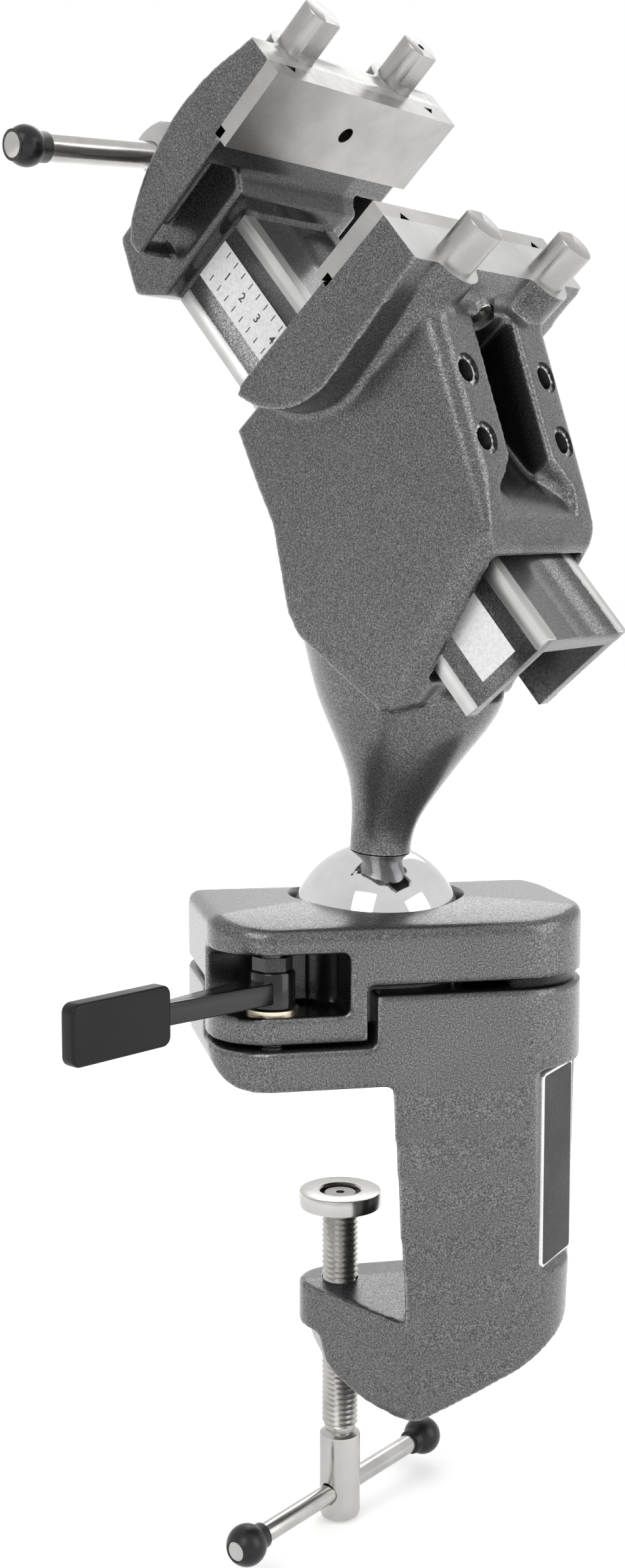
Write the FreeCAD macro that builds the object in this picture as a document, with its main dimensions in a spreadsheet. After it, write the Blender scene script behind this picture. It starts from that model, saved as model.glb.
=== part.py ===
import FreeCAD, Part
import math
import os
from types import SimpleNamespace

import Sketcher
from FreeCAD import Placement, Rotation, Vector

# Ball vise on a table clamp. The origin lies on the ball's upright axis, in the face that rests on the
# table. +X runs from the open side of the clamp to its column, +Y to the back, +Z up.

SIZES = {
    # ball joint
    "ball_radius": 31.0,
    "ball_height": 47.0,
    "run_clearance": 0.05,
    "neck_gap": 0.3,
    "seat_outer": 33.0,
    "seat_inner": 16.0,
    "seat_floor": 20.0,
    "ball_stud_radius": 6.0,
    "ball_stud_in_ball": 20.0,
    "ball_stud_in_neck": 32.0,
    "run_in": 5.0,
    "tool_reach": 80.0,
    "tool_margin": 20.0,
    "drill_point": 0.5,
    # split head of the clamp: cap and bracket
    "block_left": 65.0,
    "block_right": 71.0,
    "block_half_depth": 45.0,
    "corner_left": 22.0,
    "corner_right": 30.0,
    "toe_radius": 12.0,
    "split_height": 35.0,
    "split_gap": 3.0,
    "rim_rise": 13.6,
    "rim_radius": 31.9,
    "crown_across": 175.0,
    "crown_along": 900.0,
    "cap_edge_round": 4.0,
    "lip_bottom": 16.0,
    "lip_gap": 2.0,
    "lip_right": 13.0,
    "lip_back": 16.5,
    "lip_side_gap": 3.0,
    "pocket_floor": 25.6,
    "pocket_ceiling": 46.5,
    "pocket_right": 24.5,
    "pocket_back": 12.5,
    "socket_wall": 3.0,
    # column and lower jaw
    "column_drop": 121.5,
    "column_left": 5.0,
    "column_wall": 18.0,
    "column_side_wall": 20.0,
    "column_end_slant": 8.0,
    "column_back": 30.0,
    "column_inner_round": 14.0,
    "foot_rise": 31.0,
    "foot_curve": 400.0,
    "foot_round": 30.0,
    "side_draft": 3.7,
    "throat_draft": 8.3,
    "jaw_drop": 82.5,
    "jaw_crown": 3.5,
    "jaw_thickness": 17.0,
    "nose_radius": 15.0,
    "plate_recess": 23.2,
    "plate_top": 0.5,
    "plate_width": 26.5,
    "plate_length": 70.0,
    "plate_thickness": 1.2,
    "plate_margin": 2.0,
    # cap screws
    "cap_screw_radius": 3.0,
    "cap_screw_head": 5.0,
    "cap_screw_head_height": 6.0,
    "cap_screw_x": 41.0,
    "cap_screw_y": 8.0,
    "cap_screw_pitch": 36.0,
    "cap_screw_top": 50.0,
    "cap_screw_seat": 10.0,
    "cap_boss_radius": 7.0,
    # clamp lever
    "stud_inset_x": 21.0,
    "stud_inset_y": 12.0,
    "stud_radius": 4.0,
    "stud_bottom": 3.0,
    "stud_top": 45.5,
    "stud_hole": 4.5,
    "washer_radius": 9.0,
    "washer_thickness": 1.5,
    "hub_radius": 7.8,
    "hub_height": 12.8,
    "lever_gap": 0.1,
    "arm_lift": 2.4,
    "arm_height": 7.5,
    "arm_root": 7.0,
    "arm_tip": 2.4,
    "arm_length": 82.0,
    "grip_start": 50.0,
    "grip_end": 91.0,
    "grip_height": 20.0,
    "grip_thickness": 6.0,
    "grip_round": 2.5,
    "nut_radius": 7.0,
    "nut_height": 4.6,
    "nut_gap": 0.2,
    # table spindle
    "spindle_x": 13.0,
    "thread_radius": 6.7,
    "press_radius": 15.0,
    "press_thickness": 6.0,
    "press_recess": 3.0,
    "press_recess_radius": 7.4,
    "press_top": 49.7,
    "tip_radius": 4.5,
    "press_screw_radius": 2.0,
    "press_screw_head": 6.2,
    "press_screw_head_height": 2.0,
    "press_screw_length": 16.0,
    "spindle_length": 86.0,
    "spindle_hub_radius": 7.5,
    "spindle_hub_length": 33.0,
    "spindle_hub_neck": 2.0,
    "cavity_radius": 7.9,
    "low_bar_radius": 3.5,
    "low_bar_half": 53.3,
    "low_bar_below_hub": 22.0,
    "low_knob_radius": 7.2,
    "knob_neck": 1.0,
    # vise head, along the slide (u), across (w) and up from the slide (v), from the ball centre
    "jaw_half": 50.5,
    "jaw_top": 187.0,
    "jaw_plate_height": 30.0,
    "jaw_plate_thick": 6.3,
    "jaw_plate_thin": 3.5,
    "jaw_plate_step": 3.5,
    "fixed_face": 160.5,
    "opening": 57.0,
    "fixed_jaw_back": 136.0,
    "fixed_jaw_lip": 107.5,
    "fixed_jaw_wall": 50.0,
    "fixed_jaw_taper": 4.5,
    "fixed_jaw_sweep": 31.0,
    "body_half": 34.5,
    "body_front": 156.0,
    "body_back": 44.0,
    "chin_drop": 6.0,
    "belly_run": 20.0,
    "belly_drop": 12.0,
    "keel_run": 34.0,
    "keel_drop": 15.5,
    "point_front": 51.0,
    "point_front_drop": 30.5,
    "point_back": 42.0,
    "point_back_drop": 32.0,
    "rump_run": 1.0,
    "rump_drop": 21.5,
    "heel_run": 4.0,
    "heel_drop": 12.0,
    "heel_rise": 4.0,
    "shoulder_run": 14.0,
    "shoulder_rise": 5.0,
    "back_run": 21.0,
    "back_rise": 11.0,
    "body_round": 7.0,
    "pillar_top_u": 127.5,
    "pillar_top_v": 174.8,
    "pillar_foot_u": 79.0,
    "pillar_foot_v": 154.8,
    "slot_half": 12.5,
    "slot_front": 131.0,
    "slot_floor": 145.6,
    "slot_sill": 147.3,
    "slot_ramp": 88.0,
    "flare_start": 84.5,
    "flare_end": 74.6,
    "flare_half": 22.7,
    "mouth_start": 78.0,
    "mouth_half": 27.8,
    "mouth_rise": 3.0,
    "slide_half": 25.5,
    "slide_top": 136.0,
    "slide_height": 40.0,
    "slide_wall": 6.0,
    "slide_roof": 7.0,
    "slide_end": 26.0,
    "slide_relief": 0.6,
    "slide_land": 5.5,
    "tunnel_clearance": 0.1,
    "gib_thickness": 3.0,
    "gib_half_width": 2.2,
    "gib_length": 60.0,
    "gib_screw_radius": 3.5,
    "gib_screw_sunk": 6.0,
    "gib_screw_tip": 1.8,
    "gib_face_radius": 5.5,
    "gib_face_depth": 1.2,
    "gib_screw_w": 23.9,
    "gib_screw_front": 110.7,
    "gib_screw_pitch": 22.8,
    "post_radius": 7.0,
    "post_rise": 15.5,
    "post_spigot_radius": 5.0,
    "post_spigot_length": 14.0,
    "post_w": 27.7,
    "post_setback": 22.5,
    "movable_post_setback": 16.5,
    "boss_radius": 10.0,
    "movable_boss_height": 16.0,
    "post_chamfer": 0.6,
    "post_flat": 5.4,
    "post_flat_start": 3.0,
    "plate_screw_radius": 3.0,
    "plate_screw_head": 4.8,
    "plate_screw_head_height": 5.5,
    "plate_screw_drop": 15.0,
    "fixed_screw_seat": 7.0,
    "plate_screw_seat": 2.0,
    "plate_screw_short": 2.5,
    "notch_w": 39.0,
    "notch_size": 2.2,
    "neck_radius": 11.0,
    "neck_height": 116.0,
    "neck_flare": 24.2,
    # movable jaw
    "movable_jaw_depth": 10.2,
    "movable_jaw_bottom": 106.5,
    "movable_back_radius": 80.0,
    "hub_half": 33.0,
    "hub_back": 245.0,
    "hub_front": 214.5,
    "hub_bottom": 86.0,
    "channel_setback": 4.0,
    "jaw_rib": 2.5,
    "jaw_pocket_depth": 11.0,
    "jaw_web": 10.0,
    # lead screw
    "screw_v": 112.0,
    "screw_radius": 7.0,
    "screw_head_radius": 10.5,
    "screw_head_length": 39.0,
    "screw_shank_end": 100.0,
    "ring_radius": 9.5,
    "ring_thickness": 1.5,
    "bar_setback": 28.5,
    "bar_radius": 4.8,
    "bar_half": 67.0,
    "bar_knob_radius": 7.5,
    "nut_half": 13.0,
    "nut_front": 146.0,
    "nut_back": 106.0,
    "nut_screw_radius": 3.0,
    "nut_screw_head": 5.0,
    "nut_screw_head_height": 5.0,
    "nut_screw_depth": 7.0,
    # labels on the slide
    "label_thickness": 0.2,
    "scale_length": 56.0,
    "scale_height": 16.0,
    "blank_label_length": 52.0,
}

# Rest pose of the head: it stands on the ball a little off upright.
HEAD_SWIVEL = -72.5
HEAD_TILT = 5.9
HEAD_TURN = 22.9
STEM_SLANT = 45.0
LEVER_ANGLE = 216.5
LOW_BAR_ANGLE = 40.0
PLATE_ANGLE = -41.2
UPPER_BAR_ANGLE = 7.0
PILLAR_SLOPE = 22.4
HEEL_SLOPE = 72.2

doc = FreeCAD.newDocument("BallVise")
sheet = doc.addObject("Spreadsheet::Sheet", "Sizes")
for row, (alias, amount) in enumerate(SIZES.items(), start=1):
    sheet.set(f"A{row}", str(amount))
    sheet.setAlias(f"A{row}", alias)
doc.recompute()


class Dim:
    """A length: its value in millimetres and the expression that binds it to the sheet."""

    def __init__(self, value, text):
        self.value = value
        self.text = text

    def __add__(self, other):
        return Dim(self.value + value_of(other), f"({self.text} + {text_of(other)})")

    def __radd__(self, other):
        return Dim(value_of(other) + self.value, f"({text_of(other)} + {self.text})")

    def __sub__(self, other):
        return Dim(self.value - value_of(other), f"({self.text} - {text_of(other)})")

    def __rsub__(self, other):
        return Dim(value_of(other) - self.value, f"({text_of(other)} - {self.text})")

    def __mul__(self, factor):
        return Dim(self.value * factor, f"({self.text} * {factor!r})")

    __rmul__ = __mul__

    def __truediv__(self, factor):
        return Dim(self.value / factor, f"({self.text} / {factor!r})")

    def __neg__(self):
        return Dim(-self.value, f"(0 - {self.text})")


def value_of(length):
    return length.value if isinstance(length, Dim) else float(length)


def text_of(length):
    return length.text if isinstance(length, Dim) else f"({float(length)!r})"


def span(start, end):
    """The length from start to end, either of which may be a plain number."""
    return end - start if isinstance(end, Dim) else -(start - end)


def point(x, y, z):
    return Vector(value_of(x), value_of(y), value_of(z))


S = SimpleNamespace(**{alias: Dim(amount, f"Sizes.{alias}") for alias, amount in SIZES.items()})


# ---- building blocks ----

def bind(item, path, length):
    item.setExpression(path, text_of(length))


def locate(item, x, y, z, rotation=None):
    """Puts a form at a bound place in the frame it is built in."""
    item.Placement = Placement(point(x, y, z), rotation or Rotation())
    for axis, length in (("x", x), ("y", y), ("z", z)):
        bind(item, f"Placement.Base.{axis}", length)


def box(name, low, high):
    form = doc.addObject("Part::Box", name)
    for side, start, end in zip(("Length", "Width", "Height"), low, high):
        bind(form, side, span(start, end))
    locate(form, *low)
    return form


AXES = {
    "z": Rotation(),
    "x": Rotation(Vector(0, 1, 0), 90),
    "y": Rotation(Vector(1, 0, 0), -90),
}


def cylinder(name, radius, length, base, axis="z"):
    """A round bar from its base, along +x, +y or +z or a given rotation."""
    form = doc.addObject("Part::Cylinder", name)
    bind(form, "Radius", radius)
    bind(form, "Height", length)
    locate(form, *base, AXES[axis] if isinstance(axis, str) else axis)
    return form


def sphere(name, radius, centre):
    form = doc.addObject("Part::Sphere", name)
    bind(form, "Radius", radius)
    locate(form, *centre)
    return form


def hexagon(name, radius, height, base):
    form = doc.addObject("Part::Prism", name)
    form.Polygon = 6
    bind(form, "Circumradius", radius)
    bind(form, "Height", height)
    locate(form, *base)
    return form


def arc_between(start, end, radius):
    """The arc from start to end; a positive radius turns it anticlockwise."""
    chord = end - start
    half = chord.Length / 2
    rise = math.sqrt(max(radius * radius - half * half, 0.0))
    side = Vector(-chord.y, chord.x, 0).normalize() * (rise if radius > 0 else -rise)
    centre = (start + end) * 0.5 + side
    circle = Part.Circle(centre, Vector(0, 0, 1), abs(radius))
    if radius > 0:
        first, last = start - centre, end - centre
    else:
        first, last = end - centre, start - centre
    return Part.ArcOfCircle(circle, math.atan2(first.y, first.x), math.atan2(last.y, last.x))


def draw(sketch, outline):
    """Closes an outline of points (x, y) or (x, y, radius), where the radius bends the side that
    starts there; each point is dimensioned from the sketch's origin."""
    count = len(outline)
    starts = []
    for index, corner in enumerate(outline):
        following = outline[(index + 1) % count]
        start = point(corner[0], corner[1], 0)
        end = point(following[0], following[1], 0)
        bend = corner[2] if len(corner) > 2 else None
        if bend is None:
            sketch.addGeometry(Part.LineSegment(start, end), False)
            starts.append((1, 2))
        else:
            sketch.addGeometry(arc_between(start, end, value_of(bend)), False)
            starts.append((1, 2) if value_of(bend) > 0 else (2, 1))
    for index in range(count):
        following = (index + 1) % count
        ends = Sketcher.Constraint("Coincident", index, starts[index][1], following, starts[following][0])
        sketch.addConstraint(ends)
    for index, corner in enumerate(outline):
        for kind, length in (("DistanceX", corner[0]), ("DistanceY", corner[1])):
            place = Sketcher.Constraint(kind, -1, 1, index, starts[index][0], value_of(length))
            number = sketch.addConstraint(place)
            sketch.setExpression(f"Constraints[{number}]", text_of(length))
        if len(corner) > 2:
            size = corner[2] if value_of(corner[2]) > 0 else -corner[2]
            number = sketch.addConstraint(Sketcher.Constraint("Radius", index, value_of(size)))
            sketch.setExpression(f"Constraints[{number}]", text_of(size))


def prism(name, outline, start, end, normal="z"):
    """An outline drawn across an axis and carried from start to end along it. Across z it is drawn
    in (x, y), across y in (x, z) and across x in (y, z)."""
    sketch = doc.addObject("Sketcher::SketchObject", f"{name}_outline")
    turns = {
        "z": Rotation(),
        "y": Rotation(Vector(1, 0, 0), 90),
        "x": Rotation(Vector(1, 1, 1), 120),
    }
    origins = {"z": (0, 0, start), "y": (0, end, 0), "x": (start, 0, 0)}
    locate(sketch, *origins[normal], turns[normal])
    draw(sketch, outline)
    form = doc.addObject("Part::Extrusion", name)
    form.Base = sketch
    form.DirMode = "Normal"
    form.Solid = True
    bind(form, "LengthFwd", span(start, end))
    return form


def loft(name, sections):
    form = doc.addObject("Part::Loft", name)
    form.Sections = sections
    form.Solid = True
    return form


def section(name, outline, height):
    sketch = doc.addObject("Sketcher::SketchObject", name)
    locate(sketch, 0, 0, height)
    draw(sketch, outline)
    return sketch


def fuse(name, forms):
    joined = doc.addObject("Part::MultiFuse", name)
    joined.Shapes = forms
    return joined


def group(name, forms):
    """Several forms, or one, held as they are."""
    held = doc.addObject("Part::Compound", name)
    held.Links = forms
    return held


def common(name, forms):
    shared = doc.addObject("Part::MultiCommon", name)
    shared.Shapes = forms
    return shared


def cut(name, form, tools):
    result = doc.addObject("Part::Cut", name)
    result.Base = form
    result.Tool = tools[0] if len(tools) == 1 else fuse(f"{name}_cuts", tools)
    return result


def round_edges(name, form, radius, chosen):
    """Rounds the edges of a form for which the test holds."""
    doc.recompute()
    result = doc.addObject("Part::Fillet", name)
    result.Base = form
    picked = [number for number, edge in enumerate(form.Shape.Edges, start=1) if chosen(edge)]
    result.Edges = [(number, value_of(radius), value_of(radius)) for number in picked]
    return result


def turned(name, outline):
    """A turned piece: a half section in (radius, height), revolved about its own z axis."""
    body = doc.addObject("PartDesign::Body", name)
    plane = next(item for item in body.Origin.OriginFeatures if item.Role == "XZ_Plane")
    sketch = body.newObject("Sketcher::SketchObject", f"{name}_section")
    sketch.AttachmentSupport = (plane, [""])
    sketch.MapMode = "FlatFace"
    draw(sketch, outline)
    revolution = body.newObject("PartDesign::Revolution", f"{name}_turned")
    revolution.Profile = sketch
    revolution.ReferenceAxis = (sketch, ["V_Axis"])
    revolution.Angle = 360
    body.Tip = revolution
    return body


pieces = []


def piece(item, label, frame=None, local=None):
    """Names a finished sub-part and stands it in the assembly."""
    item.Label = label
    placement = frame or Placement()
    item.Placement = placement.multiply(local) if local else placement
    pieces.append(item)
    return item


# ---- frames of the assembly ----

UP = Vector(0, 0, 1)
ACROSS = Vector(0, 1, 0)
ball_centre = point(0, 0, S.ball_height)
STUD_X = S.stud_inset_x - S.block_left
STUD_Y = S.stud_inset_y - S.block_half_depth
stem_turn = Rotation(UP, HEAD_SWIVEL).multiply(Rotation(ACROSS, HEAD_TILT)).multiply(Rotation(UP, HEAD_TURN))
STEM = Placement(ball_centre, stem_turn)
HEAD = STEM.multiply(Placement(Vector(), Rotation(ACROSS, STEM_SLANT)))
STEM_IN_HEAD = Rotation(ACROSS, -STEM_SLANT)
LEVER = Placement(point(STUD_X, STUD_Y, 0), Rotation(UP, LEVER_ANGLE))


# ---- clamp bracket, cap and ball seat ----

def block_outline():
    left, right, depth = -S.block_left, S.block_right, S.block_half_depth
    return [
        (left + S.corner_left, -depth),
        (right - S.corner_right, -depth, S.corner_right),
        (right, -depth + S.corner_right),
        (right, depth - S.corner_right, S.corner_right),
        (right - S.corner_right, depth),
        (left + S.corner_left, depth, S.corner_left),
        (left, depth - S.corner_left),
        (left, -depth + S.corner_left, S.corner_left),
    ]


def cap_screw_places():
    half = S.cap_screw_pitch / 2
    return [(S.cap_screw_x, S.cap_screw_y - half), (S.cap_screw_x, S.cap_screw_y + half)]


def column_outline(depth_share):
    """The column's angle section; depth_share runs from 0 at its top to 1 at its foot."""
    draft = S.side_draft * depth_share
    near = -S.block_half_depth + draft
    right = S.block_right - draft
    left = -S.column_left + S.throat_draft * depth_share
    inner_near = -S.block_half_depth + S.column_wall
    inner_right = S.block_right - S.column_side_wall
    return [
        (left, near),
        (right - S.corner_right, near, S.corner_right),
        (right, near + S.corner_right),
        (right, S.column_back),
        (inner_right, S.column_back),
        (inner_right, inner_near + S.column_inner_round, -S.column_inner_round),
        (inner_right - S.column_inner_round, inner_near),
        (left + S.column_end_slant, inner_near),
    ]


def lower_jaw_outline(depth_share):
    """The tongue of the lower jaw: from the column's near corner round the spindle to the back."""
    near = -S.block_half_depth + S.side_draft * depth_share
    left = -S.column_left + S.throat_draft * depth_share
    right = S.block_right - S.column_wall
    cos_nose, sin_nose = math.cos(math.radians(30)), math.sin(math.radians(30))
    return [
        (left, near),
        (right, near + S.nose_radius),
        (right, S.nose_radius),
        (-S.spindle_x, S.nose_radius, S.nose_radius),
        (-S.spindle_x - S.nose_radius * cos_nose, -S.nose_radius * sin_nose),
    ]


def make_bracket():
    block = prism("bracket_block", block_outline(), 0, S.split_height - S.split_gap)
    reach = S.block_half_depth + 10
    toe_left, toe = -S.block_left, S.toe_radius
    toe_cut = prism("bracket_toe", [
        (toe_left - 5, -5),
        (toe_left + toe, -5),
        (toe_left + toe, 0, -S.toe_radius),
        (toe_left, toe),
        (toe_left - 5, toe),
    ], -reach, reach, "y")
    column = loft("bracket_column", [
        section("column_top", column_outline(0.0), 0),
        section("column_foot", column_outline(1.0), -S.column_drop),
    ])
    share = SIZES["jaw_drop"] / SIZES["column_drop"]
    tongue = loft("bracket_tongue", [
        section("tongue_top", lower_jaw_outline(share), -S.jaw_drop),
        section("tongue_foot", lower_jaw_outline(1.0), -S.column_drop),
    ])
    crest, low = -S.jaw_drop, -S.jaw_drop - S.jaw_crown
    reach_far = S.block_right
    crown = prism("tongue_crown", [
        (0, crest),
        (S.block_half_depth, low),
        (S.block_half_depth, crest + 5),
        (-S.block_half_depth, crest + 5),
        (-S.block_half_depth, low),
    ], -S.block_left, reach_far, "x")
    lower_jaw = cut("lower_jaw", tongue, [crown])
    casting = fuse("bracket_casting", [cut("bracket_top", block, [toe_cut]), column, lower_jaw])

    underside = prism("bracket_underside", [
        (-S.block_left, -S.column_drop - 20),
        (S.block_right + 10, -S.column_drop - 20),
        (S.block_right + 10, -S.column_drop + S.foot_rise),
        (S.block_right, -S.column_drop + S.foot_rise, -S.foot_curve),
        (S.spindle_x - 6, -S.column_drop, -S.foot_round),
        (-S.spindle_x - 8, -S.jaw_drop - S.jaw_thickness - 10),
        (-S.spindle_x - 10, -S.jaw_drop - S.jaw_thickness),
        (-S.block_left, -S.jaw_drop - S.jaw_thickness + 3),
    ], -reach, reach, "y")
    notch = box("bracket_notch",
                (-S.block_left - 5, -S.block_half_depth - 5, S.lip_bottom - S.lip_gap),
                (-S.lip_right + S.lip_side_gap, -S.lip_back + S.lip_side_gap, S.split_height + 1))
    seat = cylinder("bracket_seat", S.seat_outer + S.run_clearance, S.split_height, (0, 0, S.seat_floor))
    relief = cylinder("bracket_relief", S.seat_inner, S.seat_floor, (0, 0, S.seat_floor - 6))
    stud_hole = cylinder("bracket_stud_hole", S.stud_radius + S.run_clearance, S.split_height,
                         (STUD_X, STUD_Y, S.stud_bottom - 1))
    bore = cylinder("spindle_bore", S.thread_radius + S.run_clearance, S.column_drop,
                    (-S.spindle_x, 0, -S.column_drop - 5))
    cavity = cylinder("spindle_cavity", S.cavity_radius, S.column_drop - S.jaw_drop - S.jaw_thickness + 20,
                      (-S.spindle_x, 0, -S.column_drop - 20))
    cuts = [underside, notch, seat, relief, stud_hole, bore, cavity]
    for number, (x, y) in enumerate(cap_screw_places(), start=1):
        clearance = S.cap_screw_radius + 0.3
        cuts.append(cylinder(f"cap_screw_hole_{number}", clearance, S.split_height, (x, y, -1)))
        head = S.cap_screw_head + 0.5
        cuts.append(cylinder(f"cap_screw_sink_{number}", head, S.cap_screw_seat + 1, (x, y, -1)))
    cuts.append(make_plate_recess())
    piece(cut("clamp_bracket", casting, cuts), "clamp_bracket")


def corner_frame():
    """The frame of the column's near right corner, with x pointing out through the corner."""
    centre = point(S.block_right - S.corner_right, -S.block_half_depth + S.corner_right, 0)
    return Placement(centre, Rotation(UP, PLATE_ANGLE))


def make_plate_recess():
    """The flat seat of the name plate, milled across the corner."""
    half = S.corner_right * 0.8
    low = S.plate_top - S.plate_length - S.plate_margin
    high = S.plate_top + S.plate_margin
    seat = group("plate_seat", [box("plate_seat_box", (S.plate_recess, -half, low),
                                    (S.plate_recess + S.corner_right, half, high))])
    seat.Placement = corner_frame()
    return seat


def make_name_plate():
    half = S.plate_width / 2
    plate = box("plate_blank", (S.plate_recess, -half, S.plate_top - S.plate_length),
                (S.plate_recess + S.plate_thickness, half, S.plate_top))
    rounded = round_edges("plate_rounded", plate, S.plate_margin,
                          lambda edge: is_along(edge, Vector(1, 0, 0)))
    piece(rounded, "name_plate", corner_frame())


def is_along(edge, direction):
    first, last = edge.Vertexes[0].Point, edge.Vertexes[-1].Point
    line = last - first
    return line.Length > 1e-6 and line.normalize().cross(direction).Length < 1e-6


def make_cap():
    top = S.ball_height + S.rim_rise
    plan = prism("cap_plan", block_outline(), S.split_height, top + 5)
    margin = S.tool_margin
    across = cylinder("crown_across_form", S.crown_across, S.block_left + S.block_right + margin * 2,
                      (-S.block_left - margin, 0, top - S.crown_across), "x")
    along = cylinder("crown_along_form", S.crown_along, (S.block_half_depth + margin) * 2,
                     (0, -S.block_half_depth - margin, top - S.crown_along), "y")
    pillow = common("cap_pillow", [plan, across, along])
    low_edge = value_of(S.split_height) + 1
    softened = round_edges("cap_softened", pillow, S.cap_edge_round,
                           lambda edge: edge.BoundBox.ZMin > low_edge)
    lip_plan = prism("lip_plan", block_outline(), S.lip_bottom, S.split_height + 1)
    lip_limit = box("lip_limit", (-S.block_left - 5, -S.block_half_depth - 5, S.lip_bottom),
                    (-S.lip_right, -S.lip_back, S.split_height + 1))
    lip = common("cap_lip", [lip_plan, lip_limit])
    bosses = [cylinder(f"cap_boss_{number}", S.cap_boss_radius, S.split_gap + 1,
                       (x, y, S.split_height - S.split_gap))
              for number, (x, y) in enumerate(cap_screw_places(), start=1)]
    casting = fuse("cap_casting", [softened, lip] + bosses)
    pocket_block = box("lever_pocket_block", (-S.block_left - 10, -S.block_half_depth - 10, S.pocket_floor),
                       (STUD_X + S.pocket_right, STUD_Y + S.pocket_back, S.pocket_ceiling))
    socket_wall = cylinder("lever_pocket_wall", S.seat_outer + S.socket_wall, S.pocket_ceiling,
                           (0, 0, S.pocket_floor - 5))
    pocket = cut("lever_pocket", pocket_block, [socket_wall])
    held = S.ball_radius + S.run_clearance
    skirt = cylinder("cap_skirt", held, S.ball_height - S.split_height + 1, (0, 0, S.split_height - 1))
    seat = sphere("cap_seat", held, (0, 0, S.ball_height))
    rim = doc.addObject("Part::Cone", "cap_rim")
    bind(rim, "Radius1", S.rim_radius - S.rim_rise * 0.35)
    bind(rim, "Radius2", S.rim_radius + 1)
    bind(rim, "Height", S.rim_rise / 2 + 3)
    locate(rim, 0, 0, S.ball_height + S.rim_rise / 2)
    stud_hole = cylinder("cap_stud_hole", S.stud_hole, S.split_height, (STUD_X, STUD_Y, 0))
    tapped = [cylinder(f"cap_tapped_{number}", S.cap_screw_radius + S.run_clearance, S.cap_screw_top,
                       (x, y, 1))
              for number, (x, y) in enumerate(cap_screw_places(), start=1)]
    stud_end = cylinder("cap_stud_end", S.stud_hole, S.pocket_floor, (STUD_X, STUD_Y, 1))
    ring_top = S.split_height - S.split_gap + S.run_clearance
    ring_room = cylinder("cap_ring_room", S.seat_outer + S.run_clearance, ring_top - S.lip_bottom + 1,
                         (0, 0, S.lip_bottom - 1))
    tools = [pocket, skirt, seat, rim, stud_hole, stud_end, ring_room] + tapped
    piece(cut("socket_cap", casting, tools), "socket_cap")


def make_cap_screws():
    screws = []
    for number, (x, y) in enumerate(cap_screw_places(), start=1):
        seat = S.cap_screw_seat
        shank = cylinder(f"cap_shank_{number}", S.cap_screw_radius, S.cap_screw_top - seat, (x, y, seat))
        head = cylinder(f"cap_head_{number}", S.cap_screw_head, S.cap_screw_head_height,
                        (x, y, seat - S.cap_screw_head_height))
        socket = hexagon(f"cap_socket_{number}", S.cap_screw_radius * 0.95, S.cap_screw_head_height / 2,
                         (x, y, seat - S.cap_screw_head_height))
        screws.append(cut(f"cap_screw_{number}", fuse(f"cap_screw_blank_{number}", [shank, head]), [socket]))
    piece(group("cap_screw_pair", screws), "cap_screws")


def make_ball_joint():
    ring = cylinder("seat_ring_blank", S.seat_outer, S.split_height - S.split_gap - S.seat_floor,
                    (0, 0, S.seat_floor))
    hollow = sphere("seat_ring_hollow", S.ball_radius + S.run_clearance, (0, 0, S.ball_height))
    through = cylinder("seat_ring_bore", S.seat_inner, S.split_height, (0, 0, S.seat_floor - 5))
    piece(cut("ball_seat_ring", ring, [hollow, through]), "ball_seat_ring")

    ball = sphere("ball_blank", S.ball_radius, (0, 0, 0))
    start = S.ball_radius - S.ball_stud_in_ball
    bore = cylinder("ball_bore", S.ball_stud_radius + S.run_clearance, S.ball_stud_in_ball + 5,
                    (0, 0, start - 0.5))
    piece(cut("chrome_ball", ball, [bore]), "chrome_ball", STEM)

    length = S.ball_stud_in_ball + S.ball_stud_in_neck
    stud = turned("ball_stud", [
        (0, 0),
        (S.ball_stud_radius - 1, 0),
        (S.ball_stud_radius, 1),
        (S.ball_stud_radius, length - 1),
        (S.ball_stud_radius - 1, length),
        (0, length),
    ])
    piece(stud, "ball_stud", STEM, Placement(point(0, 0, start), Rotation()))


# ---- clamp lever ----

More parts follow.
